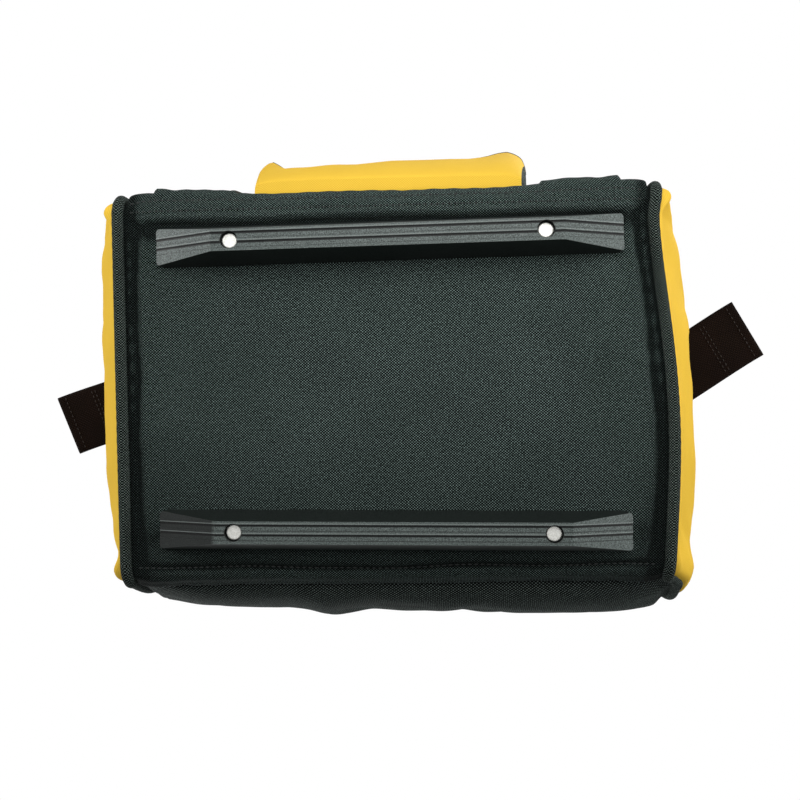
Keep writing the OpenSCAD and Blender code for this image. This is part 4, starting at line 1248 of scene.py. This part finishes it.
def tape_top(y):
    """Height of the tape's upper face at a distance from the zip's middle."""
    return ZIP_Z + TAPE_T / 2 - TAPE_FALL * (y - TAPE_IN) / (TAPE_OUT - TAPE_IN)


def flap(name, side):
    """Flap from the shoulder, over its fold, down the top and onto the zip tape."""
    turn = np.linspace(math.radians(58), math.radians(86), 8)
    lap = join(MOUTH_Y + (SHOULDER_R + 1.6 * MM) * np.cos(turn),
               SHOULDER_Z + (SHOULDER_R + 1.6 * MM) * np.sin(turn))
    top_y = np.linspace(HINGE_Y - 3 * MM, TAPE_OUT + 2 * MM, 44)
    drop = smooth((top_y - TAPE_OUT) / (HINGE_Y - TAPE_OUT))
    edge_z = tape_top(TAPE_OUT) + 0.1 * MM + FLAP_T
    top_z = mix(edge_z, HINGE_Z + FLAP_T - 0.2 * MM, drop)
    over_y = np.linspace(TAPE_OUT, FLAP_EDGE, 8)
    over_z = tape_top(over_y) + 0.1 * MM + FLAP_T
    line = np.concatenate([lap, join(top_y, top_z), join(over_y, over_z)])
    x = np.linspace(-FLAP_X, FLAP_X, 161)[None]
    y, z = line[:, :1], line[:, 1:]
    free = smooth((y - FLAP_EDGE) / (14 * MM)) * smooth((HINGE_Y - y) / (14 * MM))
    lift = 1.2 * MM * (0.6 + soft_noise(x, y, 60 * MM, 51 + side))
    lift = lift + 0.6 * MM * creases(x, y, 0.4, 12 * MM, 5, 53)
    ends = 0.4 * MM * puckers(y, FLAP_X - np.abs(x), 13 * MM, 10 * MM, 54)
    points = join(x, side * y, z + (np.maximum(lift, -0.4 * MM) + ends) * free)
    piece = Piece()
    piece.grid(points, flip=side < 0)
    normals = np.broadcast_to(np.array([0.0, 0.0, 1.0]), (161, 3))
    for row in (len(line) - 2, len(line) - 5):
        sew(piece, points[row], normals, 1)
    cloth = piece.build(name, [MATERIALS["body"], MATERIALS["black_thread"]], closed=False)
    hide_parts(name)
    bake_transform(cloth)


def tapes(name, x0, x1, sides, body):
    """Zip tape from x0 to x1 on one side of the zip or on both."""
    section = band_section(TAPE_OUT - TAPE_IN, TAPE_T, 9)
    y = (TAPE_IN + TAPE_OUT) / 2 + section[None, :, 0]
    z = tape_top(np.clip(y, TAPE_IN, TAPE_OUT)) - TAPE_T / 2 + section[None, :, 1]
    piece = Piece()
    for side in sides:
        add_band(piece, join(np.linspace(x0, x1, 60)[:, None], side * y, z))
    band = piece.build(name, [MATERIALS["tape"]])
    settle_in(band, body, "zip_tape", name)


def chain(name, x0, x1, sides, body):
    """Coil chain: a row of rounded links over a cord, one link every 1.7 mm."""
    pitch = 1.7 * MM
    t = np.linspace(0, 2 * math.pi, 9)[:, None]
    ring = np.linspace(0, 2 * math.pi, 7)[None]
    wire = 0.42 * MM
    half_w, half_h = CHAIN_W / 2 - wire, CHAIN_H / 2 - wire
    y = (half_w + wire * np.cos(ring)) * sign_pow(np.cos(t), 0.7)
    z = (half_h + wire * np.cos(ring)) * sign_pow(np.sin(t), 0.7)
    x = wire * 1.35 * np.sin(ring) + 0.25 * MM * np.cos(t)
    link = join(x, y, z)
    links_x = np.arange(x0 + pitch / 2, x1, pitch)
    core = band_section(CHAIN_W * 0.55, CHAIN_H * 0.5, 3)
    line = np.linspace(x0, x1, 20)[:, None]
    piece = Piece()
    for side in sides:
        middle = side * (CHAIN_GAP + CHAIN_W) / 2
        places = join(links_x, middle, ZIP_Z)
        piece.copies(link, np.broadcast_to(np.diag([1.0, side, 1.0]), (len(places), 3, 3)), places)
        add_band(piece, join(line, middle + core[None, :, 0], ZIP_Z + core[None, :, 1]))
    coil = piece.build(name, [MATERIALS["teeth"]])
    settle_in(coil, body, "zip_chain", name)


def fixed_askew(work):
    """Turns what lies on each runner a little about the runner's middle, as it was riveted on."""
    for vertex in work.verts:
        side = 1 if vertex.co.y > 0 else -1
        turn = REAR_TURN if side > 0 else FRONT_TURN
        x, y = vertex.co.x, vertex.co.y - side * RUNNER_Y
        shift = REAR_SHIFT if side > 0 else FRONT_SHIFT
        vertex.co.x = x * math.cos(turn) - y * math.sin(turn) + shift
        vertex.co.y = side * RUNNER_Y + x * math.sin(turn) + y * math.cos(turn)


def rounded_ends(work):
    """Cuts the four upright corners of a runner by three planes each, which touch a circle set into the
    corner of the tread's end."""
    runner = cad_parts["front_runner"]
    middle = sum((vertex.co for vertex in work.verts), Vector()) / len(work.verts)
    middle.y = math.copysign(RUNNER_Y, middle.y)
    half_l = runner.dimensions.x / 2 - TREAD_END_R
    half_w = runner.dimensions.y / 2 - 0.8 * MM - TREAD_END_R
    for end, across in ((1, 1), (1, -1), (-1, 1), (-1, -1)):
        for turn in (22.5, 45.0, 67.5):
            out = Vector((end * math.cos(math.radians(turn)), across * math.sin(math.radians(turn)), 0))
            centre = Vector((end * half_l, middle.y + across * half_w, 0))
            cut = bmesh.ops.bisect_plane(work, geom=work.verts[:] + work.edges[:] + work.faces[:], dist=1e-7,
                                         plane_co=centre + TREAD_END_R * out, plane_no=out, clear_outer=True)
            rim = [part for part in cut["geom_cut"] if isinstance(part, bmesh.types.BMEdge)]
            bmesh.ops.holes_fill(work, edges=rim, sides=0)


def rounded_copy(node, body, slot, materials, width, angle=30, askew=False):
    """Copy of a hard part with its doubles merged and its edges rounded a little. Where there is a second
    material, the faces that look down take it."""
    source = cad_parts[node]
    mesh = source.data.copy()
    work = bmesh.new()
    work.from_mesh(mesh)
    bmesh.ops.remove_doubles(work, verts=work.verts, dist=0.004 * MM)
    bmesh.ops.dissolve_limit(work, angle_limit=math.radians(1), verts=work.verts, edges=work.edges)
    if node.endswith("_runner"):
        rounded_ends(work)
    if askew:
        fixed_askew(work)
    bmesh.ops.recalc_face_normals(work, faces=work.faces)
    work.to_mesh(mesh)
    work.free()
    for name in ("custom_normal", "sharp_face", "sharp_edge"):
        if name in mesh.attributes:
            mesh.attributes.remove(mesh.attributes[name])
    mesh.materials.clear()
    for material in materials:
        mesh.materials.append(material)
    if len(materials) > 1:
        # The faces that look down take the paler copy: painted light.
        mesh.polygons.foreach_set("material_index", [int(face.normal.z < -0.8) for face in mesh.polygons])
    mesh.shade_smooth()
    piece = new_object(node + "_finish", mesh)
    round_edges = piece.modifiers.new("rounded", "BEVEL")
    round_edges.width = width
    round_edges.segments = 2
    round_edges.limit_method = "ANGLE"
    round_edges.angle_limit = math.radians(angle)
    round_edges.harden_normals = True
    settle_in(piece, body, slot, node)


# End tabs

def tab_place(side, turn, run, across, through):
    """Point of a tab at a run from its root, across it and through it. The tab turns in plan, and bends a
    little towards the front as it runs out."""
    x = side * (TAB_X + run * math.cos(turn) + side * across * math.sin(turn))
    y = TAB_SHIFT - side * run * math.sin(turn) + across * math.cos(turn)
    bend = (-4.0 if side > 0 else -5.0) * MM * smooth(run / TAB_L)
    return join(x, y + bend, ZIP_Z + through)


def tab(name, body, side, turn):
    """Doubled webbing, cut square at its tip and slanting at its root, with a thick folded tip."""
    long = TAB_L if side > 0 else TAB_L - 6 * MM
    section = band_section(STRAP_W, TAB_T, 13, 5)
    notch = 1 - 0.25 * bell(np.abs(np.abs(section[:, 0]) - STRAP_W / 2), 1.2 * MM)
    section = section * join(np.where(np.abs(section[:, 1]) < 0.5 * MM, 0.985, 1.0), notch)
    share = np.concatenate([np.linspace(0, 0.92, 60), np.linspace(0.925, 1, 14)])
    start = side * section[:, 0] * math.tan(turn)
    run = start[None] + (long - start[None]) * share[:, None]
    from_tip = (long - run) / TAB_TIP_R
    tip = np.sqrt(np.clip(1 - np.clip(1 - from_tip, 0, 1) ** 2, 0.0004, 1))
    swell = mix(1.0, 2 * TAB_TIP_R / TAB_T, bell(np.clip(from_tip - 1, 0, None), 1.5))
    through = section[None, :, 1] * tip * swell
    from_root = np.clip(run - start[None] + 0.2 * MM, 0, TAB_T / 2) / (TAB_T / 2)
    through = through * np.sqrt(np.clip(1 - (1 - from_root) ** 2, 0.3, 1))
    across = np.broadcast_to(section[None, :, 0], run.shape)
    rings = tab_place(side, turn, run, across, through)
    piece = Piece()
    closed = np.concatenate([rings, rings[:, :1]], 1)
    around = lengths(closed[:1], 1)
    uv = join(around - around[:, :1] - STRAP_W / 2, np.concatenate([run, run[:, :1]], 1))
    piece.grid(closed, uv)
    cap_ends(piece, rings)
    for face in (1, -1):
        for back, edge in ((7.5 * MM, 2 * MM), (30 * MM, 4 * MM), (33 * MM, 4 * MM)):
            a = np.linspace(-STRAP_W / 2 + edge, STRAP_W / 2 - edge, 40)
            lift = TAB_T / 2 * (1.12 if back < 10 * MM else 1.0)
            path = tab_place(side, turn, np.full(40, long - back), a, np.full(40, face * lift))
            normal = np.broadcast_to(np.array([0.0, 0.0, float(face)]), path.shape)
            sew(piece, path, normal, 1, sink=0.15 * MM)
    band = piece.build(name, [MATERIALS["tab"], MATERIALS["tab_thread"]])
    settle_in(band, body, "tab_webbing", name)


# Building every piece

def cad_finish(node, material):
    """Gives a hard part of the frame its finish."""
    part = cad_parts[node]
    for slot_index in range(max(1, len(part.material_slots))):
        if not part.material_slots:
            part.data.materials.append(material)
        else:
            part.material_slots[slot_index].material = material


base_cloth()
wall_panel("front_panel", -1, FRONT_BULGE, 61)
wall_panel("rear_panel", 1, REAR_PUFF, 71)
wall_lining("front_lining", -1, FRONT_BULGE, 61)
wall_lining("rear_lining", 1, REAR_PUFF, 71)
for word, side in (("right", 1), ("left", -1)):
    end_panel(word + "_end_panel", side)
    end_lining(word + "_end_lining", side)
    end_piping(word + "_piping", side)
pocket()
for word, x in (("left", -STRAP_X), ("right", STRAP_X)):
    strap("front_" + word + "_strap", -1, FRONT_BULGE, x, SEAM_Z)
    strap("rear_" + word + "_strap", 1, REAR_BULGE, x, REAR_STRAP_Z)
for word, side, bulge in (("front", -1, FRONT_BULGE), ("rear", 1, REAR_BULGE)):
    handle(word + "_handle", side, bulge)
    grip(word + "_grip", word + "_carry_handle", side, bulge)
    flap(word + "_flap_panel", side)
    tapes(word + "_zip_tape", -TAPE_X, TAPE_X, (side,), word + "_flap")
    chain(word + "_zip_chain", -TAPE_X, TAPE_X, (side,), word + "_flap")
for word, x0, x1 in (("right", TAIL_START, TAIL_END), ("left", -TAIL_END, -TAIL_START)):
    tapes(word + "_tail_tape", x0, x1, (-1, 1), "body")
    chain(word + "_tail_chain", x0, x1, (-1, 1), "body")
tab("right_tab", "right_end_tab", 1, RIGHT_TAB_TURN)
tab("left_tab", "left_end_tab", -1, LEFT_TAB_TURN)
for word in ("front", "rear"):
    rounded_copy(word + "_runner", "body", "runner_plastic", (MATERIALS["runner"], MATERIALS["tread"]),
                 0.3 * MM, angle=18, askew=True)
rounded_copy("zip_slider", "slider", "zip_metal", (MATERIALS["metal"],), 0.2 * MM)
rounded_copy("zip_pull", "pull", "zip_metal", (MATERIALS["metal"],), 0.2 * MM)
rounded_copy("runner_rivets", "body", "rivet_metal", (MATERIALS["rivet"],), 0.3 * MM, askew=True)
rounded_copy("rivet_washers", "body", "rivet_metal", (MATERIALS["rivet"],), 0.15 * MM, askew=True)
cad_finish("base_board", MATERIALS["board"])


# Floor, light and camera

def white_rays(t):
    """1 for the rays that see the background as plain white: the camera's, and those of reflections and of
    transmission."""
    rays = t.add("ShaderNodeLightPath")
    seen = t.math("MAXIMUM", rays.outputs["Is Camera Ray"], rays.outputs["Is Glossy Ray"])
    return t.math("MAXIMUM", seen, rays.outputs["Is Transmission Ray"])


def floor():
    """Pale floor under the runners. It can't be seen from below, and only takes the bag's shadow. Away from
    the bag it fades into the white of the background."""
    size = 3.0
    mesh = bpy.data.meshes.new("floor")
    corners = [(-size, -size, 0), (size, -size, 0), (size, size, 0), (-size, size, 0)]
    mesh.from_pydata(corners, [], [(0, 1, 2, 3)])
    material, t, shader, out = new_material("floor")
    place = t.object_place()
    tone = t.remap(t.noise(place, 6.0, 3.0), 0.3, 0.7)
    t.fill(shader, Base_Color=t.blend(tone, rgb(236, 236, 234), rgb(241, 241, 240)), Roughness=0.9,
           Specular_IOR_Level=0.1)
    white = t.add("ShaderNodeEmission", Color=(1.0, 1.0, 1.0, 1.0), Strength=1.0)
    away = t.add("ShaderNodeVectorMath", place, settings={"operation": "LENGTH"}).outputs["Value"]
    fade = t.math("MULTIPLY", t.remap(away, 0.3, 1.1, 0.25, 1.0), white_rays(t))
    pale = t.add("ShaderNodeMixShader", fade, shader.outputs[0], white.outputs[0])
    clear = t.add("ShaderNodeBsdfTransparent")
    under = t.add("ShaderNodeNewGeometry").outputs["Backfacing"]
    choose = t.add("ShaderNodeMixShader", under, pale.outputs[0], clear.outputs[0])
    t.set(out.inputs["Surface"], choose.outputs[0])
    mesh.materials.append(material)
    plane = new_object("floor", mesh)
    plane.visible_shadow = False
    plane.visible_diffuse = False
    plane.visible_glossy = False
    plane.visible_transmission = False


def lamp(name, place, size, power, aim=(0, 0, 0.05)):
    """Soft box at a place, its width and height in metres, turned towards the bag with its width level."""
    light = bpy.data.lights.new(name, "AREA")
    light.shape = "RECTANGLE"
    light.size, light.size_y = size
    light.energy = power
    head = new_object(name, light)
    away = (Vector(place) - Vector(aim)).normalized()
    across = Vector((0, 0, 1)).cross(away)
    across = Vector((1, 0, 0)) if across.length < 0.4 else across.normalized()
    up = away.cross(across).normalized()
    across = up.cross(away)
    head.matrix_world = Matrix.Translation(place) @ Matrix((across, up, away)).transposed().to_4x4()
    head.visible_camera = False


def studio_world(ambient):
    """White for the camera and for reflections, and a softer pale light on everything else."""
    world = bpy.data.worlds.new("studio")
    bpy.context.scene.world = world
    world.use_nodes = True
    world.node_tree.nodes.clear()
    t = Tree(world.node_tree)
    soft = t.add("ShaderNodeBackground", Color=(0.97, 0.98, 1.0, 1.0), Strength=ambient)
    white = t.add("ShaderNodeBackground", Color=(1.0, 1.0, 1.0, 1.0), Strength=1.0)
    choose = t.add("ShaderNodeMixShader", white_rays(t), soft.outputs[0], white.outputs[0])
    t.add("ShaderNodeOutputWorld", Surface=choose.outputs[0])


def photo_camera():
    """Camera under the bag, looking up at its base as in the photograph."""
    turn = Euler([math.radians(a) for a in CAMERA_TURN], "XYZ").to_matrix()
    right, down, ahead = turn.col[0], turn.col[1], turn.col[2]
    data = bpy.data.cameras.new("camera")
    data.sensor_width = SENSOR_MM
    data.lens = SENSOR_MM * FOCAL_PX / PHOTO_PX
    data.clip_start = 0.01
    camera = new_object("camera", data)
    place = Vector(CAMERA_PLACE) * MM
    camera.matrix_world = Matrix([
        (right.x, -down.x, -ahead.x, place.x),
        (right.y, -down.y, -ahead.y, place.y),
        (right.z, -down.z, -ahead.z, place.z),
        (0, 0, 0, 1)])
    bpy.context.scene.camera = camera


floor()
lamp("foot_box", (-0.05, -0.30, -1.0), (0.7, 0.2), 1.5)
lamp("front_key", (0.05, -0.31, -0.40), (0.4, 0.3), 1.8)
lamp("right_box", (1.0, -0.15, -0.22), (0.6, 0.4), 6.0)
lamp("left_box", (-1.0, -0.35, -0.2), (0.4, 0.4), 5.6)
lamp("top_key", (0.7, -1.1, 1.4), (1.0, 1.0), 18.0)
lamp("rear_fill", (-0.9, 1.2, 1.0), (1.0, 1.0), 12.0)
studio_world(0.1)
photo_camera()
bpy.context.scene.view_settings.view_transform = "Standard"
